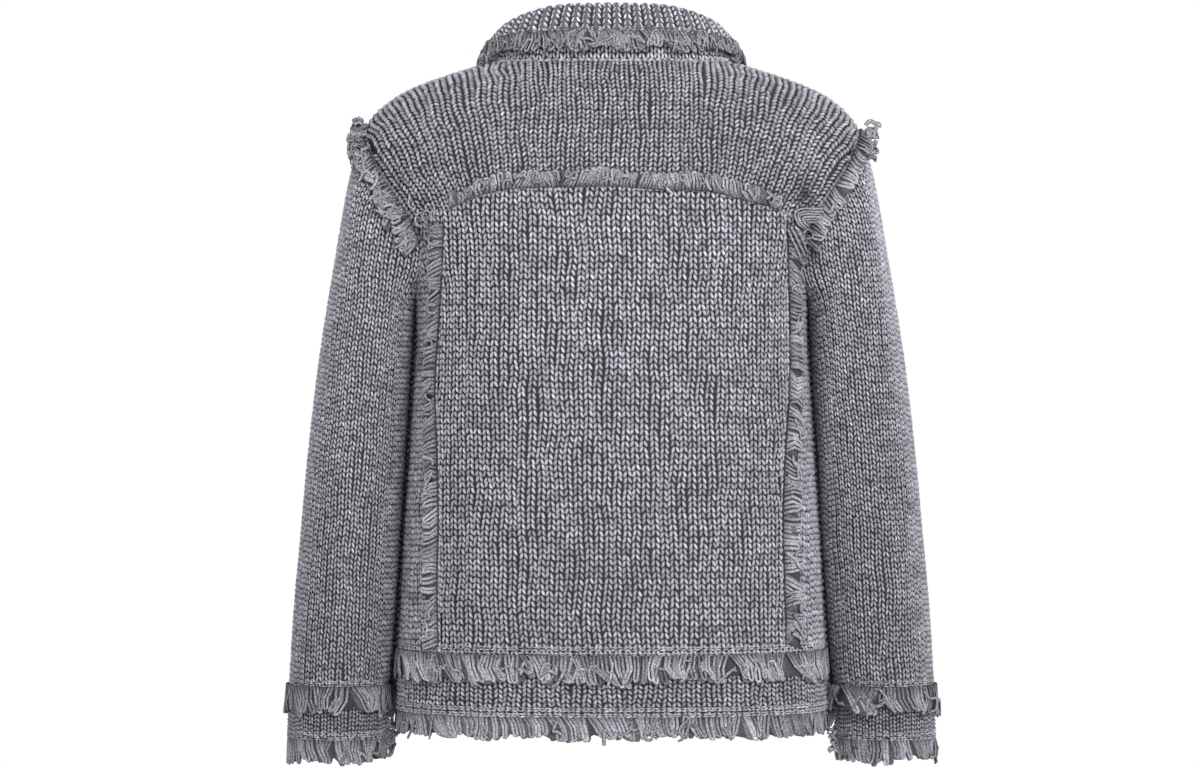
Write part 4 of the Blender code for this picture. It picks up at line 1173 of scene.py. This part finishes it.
def front_parts():
    """Both fronts, the two front bands and the hem band."""
    side_seam = run((0.0, WAIST_SEAM), (0.0, UNDERARM), 40)
    arm = armhole(np.linspace(180.0, 360.0, 41))
    outer = join(side_seam, arm, run((0.0, SHOULDER_TIP), (0.0, 0.0), 20))
    edge_x = BAND_HALF_WIDTH + SEAM_GAP / 2
    top = -FRONT_NECK_DROP
    level = WAIST_SEAM + (outer[:, 1] - WAIST_SEAM) * (top - WAIST_SEAM) / -WAIST_SEAM
    heights = 0.5 * level + 0.5 * np.linspace(WAIST_SEAM, top, len(outer))
    edge = places_at(edge_x, heights, -1)
    edge[-1, 1] = neck_height(edge[-1, 0])
    waist = level_run(WAIST_SEAM, edge[0, 0], 0.0, 40)
    runs = (waist, even_run(neck_height, edge[-1, 0], 0.0, 40), edge, outer)
    grid = coons(*runs)
    other_side = grid[:, ::-1].copy()
    other_side[..., 0] = -math.pi - other_side[..., 0]
    field, places = torso_field(-math.pi / 2, (-0.60, 0.003), 0.42)
    margin = outline_margin(flat_outline(*runs), places * FLAT)
    for node, own, room, seed in (("front_L", grid, margin, 131),
                                  ("front_R", other_side, margin[:, ::-1], 132)):
        panel(node, "knit", own)
        stitches(node, "knit", field.cut(room), GAUGE_BACK, KNIT, seed, -0.001)

    for node, left, depth, sunk, material, tone in (
        ("front_band_outer", BAND_HALF_WIDTH, 0.0, 0.0009, SHADE_BACKING, 0.35),
        ("front_band_inner", BAND_HALF_WIDTH + BAND_TUCK, WALL + 1.6 * SEAM_GAP, 0.0, BAND,
         0.7),
    ):
        rows = np.linspace(HEM_EDGE, -FRONT_NECK_DROP - SEAM_GAP, 130)
        x, heights = np.meshgrid(np.linspace(-BAND_HALF_WIDTH, left, 13), rows)
        angles = body_angle(x, heights, -1)
        normals = torso_normal(angles, heights)
        points = inset(torso(angles, heights), normals, SEAM_GAP / 2)
        cloth(node, "band_knit", points - (depth + sunk) * normals,
              points - (depth + WALL) * normals, material, tone=tone)
        if node == "front_band_outer":
            across = field.step[0] * np.arange(field.size[0]) + field.start[0]
            tall = (field.start[1] + field.step[1] * np.arange(field.size[1]))[:, None]
            margin = np.minimum(0.0157 - np.abs(across)[None], 1.0)
            margin = np.minimum(margin, tall - HEM_EDGE)
            margin = np.minimum(margin, -FRONT_NECK_DROP - tall)
            gauge = (0.031 / 5, GAUGE_BAND[1], GAUGE_BAND[2])
            stitches(node, "band_knit", field.cut(margin), gauge, BAND, 141, 0.0005, 0.0002,
                     1.0, 0.0)

    start = float(body_angle(BAND_HALF_WIDTH + SEAM_GAP, WAIST_SEAM, -1))
    panel("hem_band", "band_knit", np.stack([
        level_run(height, start, math.pi - start, 260)
        for height in np.linspace(HEM_EDGE, WAIST_SEAM, 9)]))
    field, places = torso_field(math.pi / 2, (-0.60, -0.50), 0.56)
    around, tall = places[..., 0], places[..., 1]
    margin = np.minimum(tall - HEM_EDGE, WAIST_SEAM - tall)
    margin = np.minimum(margin, np.minimum(around - start, math.pi - start - around) * 0.13)
    stitches("hem_band", "band_knit", field.cut(margin), GAUGE_HEM, BAND, 151, 0.0,
             brightness=0.95, fine=True)
    return start


def round_margin(s, total):
    """Distance of each place round a sleeve to the line where its field closes."""
    return np.stack([np.minimum(line[-1] - s, s - line[0]) for line in total])


def sleeve_field():
    """Left sleeve by levels: s is the length round it from the outer line."""
    levels = np.arange(CUFF_SEAM - 0.006, SHOULDER_TIP + 0.004, LATTICE)
    turns = np.linspace(-180.0, 180.0, 361)
    places = np.linspace(0.0, 7.0, 211)
    heights = sleeve(turns[None, :], places[:, None])[..., 2]
    found = rows_at(levels, heights[::-1].T, [places[::-1]] * len(turns)).T
    total = track_length(sleeve(turns[None, :], found), axis=1)
    total = total - total[:, 180:181]
    s = np.arange(-0.24, 0.2401, LATTICE)
    turn = rows_at(s, total, [turns] * len(levels))
    place = rows_at(s, total, found)
    room = rows_at(s, total, heights[0][None] - levels[:, None])
    margin = np.minimum(np.minimum(room, round_margin(s, total)),
                        (levels - CUFF_SEAM)[:, None])
    return Field(sleeve(turn, place), sleeve_normal(turn, place), margin, s[0], LATTICE,
                 levels[0], LATTICE)


def cuff_field():
    """Left cuff by levels, with s as on the sleeve."""
    turns = np.linspace(-180.0, 180.0, 721)
    levels = np.arange(CUFF_EDGE - 0.003, CUFF_SEAM + 0.004, LATTICE)
    total = track_length(np.stack([cuff_ring(turns, level) for level in levels]), axis=1)
    total = total - total[:, 360:361]
    s = np.arange(-0.168, 0.1681, LATTICE)
    turn = rows_at(s, total, [turns] * len(levels))
    room = np.minimum(levels - CUFF_EDGE, CUFF_SEAM - levels)[:, None]
    margin = np.minimum(round_margin(s, total), room)
    return Field(cuff_ring(turn, levels[:, None]), cuff_normal(turn), margin, s[0], LATTICE,
                 levels[0], LATTICE)


def arm_parts():
    """Sleeves and cuffs."""
    turns = np.linspace(0.0, 360.0, 97)[:-1]
    along = np.concatenate([np.linspace(0.0, 1.0, 9)[:-1], np.linspace(1.0, 7.0, 73)])
    arm = sleeve(turns[None], along[:, None])
    arm_normals = sleeve_normal(turns[None], along[:, None])
    arm[0] += clear_of_seam(turns)
    arm[-1, :, 2] += SEAM_GAP / 2
    heights = np.linspace(CUFF_EDGE, CUFF_SEAM - SEAM_GAP / 2, 10)
    band = cuff_ring(turns[None], heights[:, None])
    band_normals = np.broadcast_to(cuff_normal(turns)[None], band.shape)
    shapes = [arm[::-1], arm_normals[::-1], band, band_normals]
    fields = [sleeve_field(), cuff_field()]
    for side, seed in (("L", 211), ("R", 201)):
        if side == "R":
            shapes = [flipped(shape) for shape in shapes]
            fields = [field.mirrored() for field in fields]
        points, normals = (shape[::2, ::2] for shape in shapes[:2])
        cloth("sleeve_" + side, "knit", points - BASE_DEPTH * normals, points - WALL * normals,
              SHADE_BACKING, True)
        stitches("sleeve_" + side, "knit", fields[0], GAUGE_SLEEVE, KNIT, seed, -0.001, 0.0006,
                 0.95, stagger=0.30, fade=0.60, fine=True)
        points, normals = shapes[2:]
        cloth("cuff_" + side, "band_knit", points - BASE_DEPTH * normals,
              points - WALL * normals, SHADE_BACKING, True)
        stitches("cuff_" + side, "band_knit", fields[1], GAUGE_CUFF, CUFF, seed + 1, 0.0005,
                 0.0004, 1.12, stagger=0.30)


def stand_wall(angles):
    """Foot, top and facing of the collar stand."""
    neck, crest, _, out, rising, facing = collar_guides(angles)
    normal = torso_normal(angles, neck_height(angles))
    foot = neck + 3 * SEAM_GAP * normal - 3 * SEAM_GAP * out
    top = crest - rising * (FOLD_RADIUS + 2 * SEAM_GAP) + facing * WALL / 2
    return foot, top, facing


def collar_parts():
    """Stand and ribbed leaf."""
    angles = collar_angles(162)
    foot, top, facing = stand_wall(angles)
    outer = foot + (top - foot) * np.linspace(0, 1, 7)[:, None, None]
    cloth("collar_stand", "knit", outer - 0.0008 * facing, outer - WALL * facing, SHADE_BACKING)
    length = track_length(outer.mean(axis=0))
    count = int(length[-1] / LATTICE)
    even = np.interp(np.linspace(0, length[-1], count), length, angles)
    foot, top, facing = stand_wall(even)
    tall = float(np.linalg.norm(top - foot, axis=1).mean())
    grid = foot + (top - foot) * np.linspace(0, 1, 16)[:, None, None]
    field = Field(grid, np.repeat(facing[None], 16, axis=0), np.ones(grid.shape[:2]), 0.0,
                  length[-1] / (count - 1), 0.0, tall / 15)
    # The stand is painted lighter, against the shade the leaf casts on it
    stitches("collar_stand", "knit", field, GAUGE_STAND, KNIT, 301, 0.0, 0.0003, 1.75,
             fine=True)

    per_rib = 8
    angles = collar_angles(COLLAR_RIBS * per_rib)
    plain, normals = collar_profile(angles)
    wave = np.cos(2 * math.pi * (np.arange(len(angles)) / per_rib - 0.5))
    rise = (RIB_RISE + RIB_SINK) * (0.5 + 0.5 * wave) ** 0.8 - RIB_SINK
    outer = plain + rise[None, :, None] * normals
    # Painted shade in the valleys between the ribs, lighter on their crests
    rib_valley_shade = 0.05 + 0.15 * (0.5 + 0.5 * wave)
    cloth("collar_leaf", "rib_knit", outer, plain - WALL * normals, RIB,
          tone=np.broadcast_to(rib_valley_shade, outer.shape[:2]))
    steps = np.linalg.norm(np.diff(plain, axis=0), axis=2).mean(axis=1)
    along = np.concatenate([[0], np.cumsum(steps)])
    even = np.linspace(0, along[-1], 24)
    grid = resampled(even, along, outer)
    facing = unit(np.cross(np.gradient(grid, axis=1), np.gradient(grid, axis=0)))
    soft = resampled(even, along, normals)
    rib = 0.011
    field = Field(grid, unit(0.5 * facing + 0.5 * soft), np.ones(grid.shape[:2]), 0.0,
                  rib / per_rib, 0.0, along[-1] / 23)
    stitches("collar_leaf", "rib_knit", field, (rib, 0.0046, 0.0013), RIB, 311, 0.0, 0.0,
             1.16, narrow=0.98, spot=0.2, stagger=0.3, fine=True)


def seam_parts(yoke_line, left_seam, right_seam, hem_start):
    """Chain stitches along the seams and edges, and the folds beside them, painted dark for the
    shade in the slits.
    """
    def row(name, pairs, seed, raised=0.0002, **how):
        points, normals = line_on_torso(pairs, raised)
        seam_chain(name, points, normals, seed, **how)

    left_end = run(armhole(YOKE_CORNER), yoke_line[0], 16)
    right_end = run(yoke_line[-1], mirrored(armhole(YOKE_CORNER)[None])[0], 16)
    row("yoke_seam_chain", join(left_end, yoke_line, right_end), 401, width=0.0026,
        pitch=0.0046)
    for side, angle, seed in (("L", 0.0, 404), ("R", math.pi, 405)):
        row("shoulder_seam_chain_" + side, run((angle, SHOULDER_TIP), (angle, 0.0), 120), seed,
            0.0008, width=0.0050)
    row("back_seam_L_chain", left_seam, 402)
    row("back_seam_R_chain", right_seam, 403)
    for name, height, seed, width in (
        ("waist_seam_chain_1", WAIST_SEAM + 0.0010, 411, 0.0044),
        ("waist_seam_chain_2", WAIST_SEAM + 0.0062, 412, 0.0044),
        ("hem_edge_chain_1", HEM_EDGE + 0.0012, 421, 0.0042),
        ("hem_edge_chain_2", HEM_EDGE + 0.0062, 422, 0.0042),
    ):
        row(name, level_run(height, hem_start, math.pi - hem_start, 400), seed, 0.0006,
            width=width)
    row("neck_seam_chain",
        even_run(neck_height, -math.pi / 2 + 0.12, 1.5 * math.pi - 0.12, 400), 431, 0.0006,
        brightness=1.25)
    turns = np.linspace(0, 360, 300)
    arm_points, arm_normals = line_on_torso(armhole(turns), 0.0003)
    arm_points = arm_points + 0.0010 * clear_of_seam(turns)
    cuff_normals = cuff_normal(turns)
    for side in ("L", "R"):
        for name, points, normals, width in (
            ("armhole_chain_", arm_points, arm_normals, 0.0030),
            ("cuff_seam_chain_", cuff_ring(turns, CUFF_SEAM), cuff_normals, 0.0036),
            ("cuff_seam_chain_upper_", cuff_ring(turns, CUFF_SEAM + 0.0042), cuff_normals,
             0.0034),
            ("cuff_edge_chain_", cuff_ring(turns, CUFF_EDGE + 0.0012), cuff_normals, 0.0036),
            ("cuff_edge_chain_upper_", cuff_ring(turns, CUFF_EDGE + 0.0054), cuff_normals,
             0.0034),
        ):
            if side == "R":
                points, normals = flipped(points), flipped(normals)
            seam_chain(name + side, points, normals, 441 + len(made), width=width)
    heights = np.linspace(HEM_EDGE + 0.004, UNDERARM - 0.004, 160)
    for side, middle, way in (("L", 0.0, 1), ("R", math.pi, -1)):
        for number, turn in enumerate((0.030, 0.004, -0.022), start=1):
            angle = np.full_like(heights, middle + way * turn)
            row("side_seam_" + side + "_chain_" + str(number),
                np.stack([angle, heights], axis=-1), 480 + number, 0.0021, width=0.0044,
                lift=0.0018, brightness=0.8)
        angle = np.full_like(heights, middle)
        facing = torso_normal(angle, heights)
        fold("side_shade_roll_" + side, torso(angle, heights) + 0.0021 * facing, facing, 0.0027)
    places = np.linspace(0.06, 7.0, 220)
    turn = np.full_like(places, 198.0)
    normals = sleeve_normal(turn, places)
    tracks = [sleeve(turn, places) + 0.0022 * normals,
              sleeve(turn - 14.0, places) + 0.0012 * normals, normals]
    for side in ("L", "R"):
        if side == "R":
            tracks = [flipped(track) for track in tracks]
        fold("sleeve_shade_roll_" + side, tracks[1], tracks[2], 0.0026)
        seam_chain("sleeve_seam_chain_" + side, tracks[0], tracks[2], 491, width=0.0046,
                   lift=0.0020, brightness=0.8)
    guides = collar_guides(collar_angles(400))
    seam_chain("collar_edge_chain", guides[2] + guides[4] * 0.0012, guides[5], 461,
               width=0.0040, brightness=1.15)
    heights = np.linspace(HEM_EDGE, -FRONT_NECK_DROP - 0.001, 200)
    for side, way in (("R", -1), ("L", 1)):
        x = np.full_like(heights, way * (BAND_HALF_WIDTH - 0.0010))
        row("front_band_chain_" + side, places_at(x, heights, -1), 471 + way, width=0.0026)


def fringe_parts(yoke_line, hem_start):
    """Yarn fringe of every seam."""
    places = np.linspace(0, 1, len(yoke_line))

    def yoke(at, drop, lift):
        share = 1 - (0.02 + 0.96 * at)
        angle = np.interp(share, places, yoke_line[:, 0])
        height = np.interp(share, places, yoke_line[:, 1])
        return on_torso(angle, height + 0.001 + drop, lift)

    trim("yoke", "", yoke, 0.330, 0.0130, 501, False, 1.3, 0.0014, brightness=0.90,
         strays=0.35)

    for side, name, length in ((1, "_L", 0.0165), (-1, "_R", 0.0205)):
        top = YOKE_SEAM[0][1] if side > 0 else YOKE_SEAM[-1][1]

        def beside(at, drop, lift, side=side, top=top):
            share = at if side > 0 else 1 - at
            height = top - 0.010 + (WAIST_SEAM + 0.008 - top + 0.010) * share
            x = side * curve(BACK_SEAMS, 1 if side > 0 else 2, height)
            angle = body_angle(x, height, 1)
            reach = np.linalg.norm(torso(angle, height)[..., :2], axis=-1)
            turned = angle - side * (0.001 + drop * 0.94) / reach
            return on_torso(turned, height - 0.30 * np.maximum(drop, 0), lift)

        trim("back_seam", name, beside, 0.375, length, 511 + side, False, 0.9, 0.0018,
             pitch=0.0076, radius=0.00165, flap=0.25)

    fine = level_run(WAIST_SEAM, hem_start, math.pi - hem_start, 599)[:, 0]
    stations = np.linspace(0, 1, len(fine))

    def waist(at, drop, lift):
        angle = np.interp(at, stations, fine)
        flat = TRIM_LIFT + TRIM_THICKNESS
        held = np.minimum(lift, flat) + np.maximum(lift - flat, 0.0) * np.sin(angle) ** 2
        return on_torso(angle, WAIST_SEAM - 0.001 - drop, held)

    trim("waist", "", waist, 0.99, 0.0225, 521, False, 1.0, 0.0026, flap=0.35, slant=0.30,
         strays=0.25)

    def hem(at, drop, lift):
        return on_torso(np.interp(at, stations, fine), HEM_EDGE - drop, lift - EDGE_TRIM_IN)

    trim("hem", "", hem, 1.0, 0.0205, 531, False, 0.8, 0.0020, brightness=0.84, flap=0.85,
         slant=0.15, tuft=0.018)

    def shoulder(at, drop, lift):
        turn = -112.0 + 224.0 * at
        seam = sleeve(turn, 0.0) + clear_of_seam(turn)
        way = unit(sleeve(turn, 0.12) - sleeve(turn, 0.02))
        normal = sleeve_normal(turn, np.full_like(turn, 0.05))
        tip = 0.0050 * np.exp(-(turn / 50.0) ** 2) * np.clip(drop / 0.006, 0, 1)
        return seam + way * (0.0015 + drop)[..., None] + normal * (
            lift + tip + 0.0006)[..., None]

    def cuff_top(at, drop, lift):
        turn = 360.0 * at
        inner = np.clip(-np.cos(np.radians(turn)), 0, 1) ** 2
        return cuff_ring(turn, CUFF_SEAM - 0.001 - drop) + cuff_normal(turn) * (
            lift * (1 + 1.1 * inner) + 0.0006)[..., None]

    def cuff_end(at, drop, lift):
        turn = 360.0 * at
        outward = (lift - EDGE_TRIM_IN)[..., None]
        return cuff_ring(turn, CUFF_EDGE - drop) + cuff_normal(turn) * outward

    for side, mirror, tall, rough in (("_L", False, 0.0180, 1.8), ("_R", True, 0.0150, 0.6)):
        for name, point, length, reach, wrap, mess, spread, flap, strays, bright in (
            ("armhole", shoulder, 0.29, tall, False, rough, 0.0018, 0.1, 0.6 * rough - 0.3,
             1.0),
            ("cuff_seam", cuff_top, 0.31, 0.0230, True, 1.0, 0.0030, 0.4, 0.2, 0.78),
            ("cuff_edge", cuff_end, 0.305, 0.0200, True, 1.0, 0.0020, 0.7, 0.1, 0.78),
        ):
            def place_it(at, drop, lift, point=point, mirror=mirror):
                return point(1 - at, drop, lift) * FLIP if mirror else point(at, drop, lift)

            trim(name, side, place_it, length, reach, 541 + len(made), wrap, mess, spread,
                 flap=flap, strays=strays, brightness=bright)

    ends = collar_angles(1)

    def leaf(at, drop, lift):
        angle = ends[0] + 0.02 + (ends[1] - ends[0] - 0.04) * at
        guides = collar_guides(angle)
        share = curve(COLLAR_SECTIONS, 5, np.abs(np.degrees(angle) - 90.0))
        outward = (lift - EDGE_TRIM_IN + 0.25 * drop)[..., None]
        return guides[2] + guides[3] * outward - UP * (share * drop)[..., None]

    trim("collar", "", leaf, 0.60, 0.0165, 561, False, 1.4, 0.0012, brightness=0.78, flap=0.1,
         strays=0.7)


def loose_ends():
    """Yarn ends that curl out of the fringe at its corners, and the fringe over the dip
    beside the collar."""
    rng = np.random.default_rng(591)
    paths = []
    facings = []
    stations = 12
    for lift, places in LOOSE_ENDS:
        knots = [(k, x, z) for k, (x, z) in enumerate(places)]
        at = np.linspace(0, len(places) - 1, stations)
        x, z = curve(knots, 1, at), curve(knots, 2, at)
        angle = body_angle(x, z, 1)
        facings.append(torso_normal(angle, z))
        paths.append(on_torso(angle, z, np.full_like(x, lift)))
    for x0, z0, x1, z1, depth, count, out, rise in MATTED_ENDS:
        for k in range(count):
            at = (k + 0.5 + 0.5 * rng.normal()) / count
            way = np.array([0.0, 0.4, 0.8, 1.0, 0.9]) * (1 + 0.15 * rng.normal())
            x = x0 + at * (x1 - x0) + out * way + 0.0010 * rng.normal(size=5)
            z = z0 + at * (z1 - z0) + rise * way + 0.0022 * rng.normal(size=5)
            knots = [(float(i), x[i], z[i]) for i in range(5)]
            steps = np.linspace(0, 4, stations)
            y = np.full(stations, depth + 0.0012 * rng.normal())
            paths.append(np.stack([curve(knots, 1, steps), y, curve(knots, 2, steps)], axis=-1))
            facings.append(np.repeat(np.array([[0.0, 1.0, 0.0]]), stations, axis=0))
    count = len(paths)
    thick = np.full((count, stations), 0.00180)
    thick[:len(LOOSE_ENDS)] = 0.00115
    thick = thick * (1 + 0.12 * rng.normal(size=(count, 1)))
    tone = np.full((count, stations), 0.80)
    tone[:len(LOOSE_ENDS)] = 1.0
    tone = tone * (1 + 0.16 * rng.normal(size=(count, 1)))
    curls = tubes("fringe_curls", np.stack(paths), np.stack(facings), thick, LOOSE, tone,
                  np.where(np.arange(count) < len(LOOSE_ENDS), 0.0, 0.15), 0.85)
    made["fringe_curls"] = wear(curls, "fringe_yarn")
    for side, name in ((1, "L"), (-1, "R")):
        def leaf_side(at, drop, lift, side=side):
            turn = np.radians(-22.0 + 62.0 * at)
            guides = collar_guides(turn if side > 0 else math.pi - turn)
            return guides[2] + guides[3] * (lift + 0.12 * drop)[..., None] - UP * drop[..., None]

        name = "collar_side_fringe_" + name
        made[name] = wear(
            fringe(name, leaf_side, 0.12, 0.0120, 571 + side, False, 1.3, 0.0010,
                   brightness=0.85, flap=0.4, strays=0.9), "fringe_yarn")


def button_material():
    """Dark clouded resin."""
    material, tree, shader = new_material("button_resin")
    place = add_node(tree, "ShaderNodeTexCoord")
    cloud = add_node(tree, "ShaderNodeTexNoise", {"Scale": 160.0})
    ramp = add_node(tree, "ShaderNodeValToRGB")
    for stop, position, colour in ((0, 0.35, (0.030, 0.030, 0.036, 1.0)),
                                   (1, 0.70, (0.065, 0.064, 0.074, 1.0))):
        ramp.color_ramp.elements[stop].position = position
        ramp.color_ramp.elements[stop].color = colour
    tree.links.new(place.outputs["Object"], cloud.inputs["Vector"])
    tree.links.new(cloud.outputs["Fac"], ramp.inputs["Fac"])
    tree.links.new(ramp.outputs["Color"], shader.inputs["Base Color"])
    shader.inputs["Roughness"].default_value = 0.42
    return material


def button_parts():
    """Buttons on the outer front band, each with two crossed threads."""
    resin = button_material()
    sides = 48
    # Profile of a button from the middle of its back to the middle of its face
    profile = ((0.0, 0.0), (0.0096, 0.0), (0.0105, 0.0008), (0.0105, 0.0026), (0.0099, 0.0037),
               (0.0090, 0.0040), (0.0080, 0.0037), (0.0074, 0.0029), (0.0068, 0.0026),
               (0.0, 0.0026))
    turn = np.linspace(0, 2 * math.pi, sides + 1)[:-1]
    for number, height in enumerate(BUTTON_HEIGHTS, start=1):
        angle = np.array(-math.pi / 2)
        normal = torso_normal(angle, height)
        centre = torso(angle, height) + normal * 2 * SEAM_GAP
        right = np.array([1.0, 0.0, 0.0])
        up = unit(np.cross(normal, right))
        rings = []
        for radius, rise in profile:
            radius = max(radius, 0.0001)
            rings.append(centre + radius * (np.cos(turn)[:, None] * right
                                            + np.sin(turn)[:, None] * up) + rise * normal)
        points = np.stack(rings)
        index = numbered(len(profile), sides, wrap=True)
        button = mesh_piece("button_disc_" + str(number), points, strip(index[:-1], index[1:]),
                            resin, np.ones(points.shape[:2]))
        made["button_" + str(number)] = wear(button, "button", "button_" + str(number))
        paths = []
        sides_of = []
        for dx, dy in ((1, 1), (-1, 1)):
            start = centre + 0.0026 * normal + 0.0019 * (dx * right + dy * up)
            end = centre + 0.0026 * normal - 0.0019 * (dx * right + dy * up)
            share = np.linspace(0, 1, 7)[:, None]
            arch = 0.0011 * np.sin(math.pi * share) - 0.0004
            paths.append(start + (end - start) * share + normal * arch)
            sides_of.append(np.repeat(normal[None], 7, axis=0))
        thread = tubes("button_thread_" + str(number), np.stack(paths), np.stack(sides_of),
                       np.full((2, 7), 0.00055), LOOSE, np.full((2, 7), 0.7),
                       np.full(2, 0.6), 1.0)
        made["thread_" + str(number)] = wear(thread, "fringe_yarn")


# Floor, aim of the lamps, and the camera with the width it sees at the garment
FLOOR_HEIGHT = -1.45
LAMP_AIM = (0.0, 0.0, -0.28)
CAMERA_PLACE = (0.0104, 4.0, -0.288)
CAMERA_FIELD = 1.08


def stage():
    """Pale floor, soft light and the camera behind the garment."""
    mesh = bpy.data.meshes.new("floor")
    mesh.from_pydata([(x, y, FLOOR_HEIGHT) for x, y in ((-6, -6), (6, -6), (6, 6), (-6, 6))],
                     [], [(0, 1, 2, 3)])
    floor = bpy.data.objects.new("floor", mesh)
    pale, _, shader = new_material("floor_pale")
    shader.inputs["Base Color"].default_value = (0.80, 0.80, 0.80, 1.0)
    shader.inputs["Roughness"].default_value = 0.9
    mesh.materials.append(pale)
    bpy.context.scene.collection.objects.link(floor)
    scene = bpy.context.scene
    world = bpy.data.worlds.new("studio")
    world.use_nodes = True
    sky = world.node_tree.nodes["Background"]
    sky.inputs["Color"].default_value = (1.0, 1.0, 1.0, 1.0)
    sky.inputs["Strength"].default_value = 1.0
    scene.world = world
    scene.view_settings.view_transform = "Standard"
    scene.view_settings.look = "None"
    scene.view_settings.exposure = 0.0
    scene.view_settings.gamma = 1.0
    for name, place, size, power in (
        ("key", (-0.95, 2.6, 1.1), 0.9, 62.0),
        ("front_fill", (-1.2, -2.6, 0.9), 1.6, 14.0),
    ):
        lamp = bpy.data.lights.new(name, "AREA")
        lamp.shape = "SQUARE"
        lamp.size = size
        lamp.energy = power
        holder = bpy.data.objects.new(name, lamp)
        holder.location = place
        holder.rotation_euler = look_at(np.array(LAMP_AIM) - np.array(place))
        scene.collection.objects.link(holder)
    camera = bpy.data.cameras.new("camera")
    camera.sensor_width = 36.0
    camera.lens = camera.sensor_width / CAMERA_FIELD * CAMERA_PLACE[1]
    holder = bpy.data.objects.new("camera", camera)
    holder.location = CAMERA_PLACE
    holder.rotation_euler = (math.pi / 2, 0.0, math.pi)
    scene.collection.objects.link(holder)
    scene.camera = holder


def look_at(way):
    """Rotation that turns a lamp along a direction."""
    way = way / np.linalg.norm(way)
    return (math.acos(-way[2]), 0.0, math.atan2(-way[0], way[1]))


yoke_line, left_seam, right_seam = back_parts()
hem_start = front_parts()
arm_parts()
collar_parts()
seam_parts(yoke_line, left_seam, right_seam, hem_start)
fringe_parts(yoke_line, hem_start)
loose_ends()
button_parts()
stage()
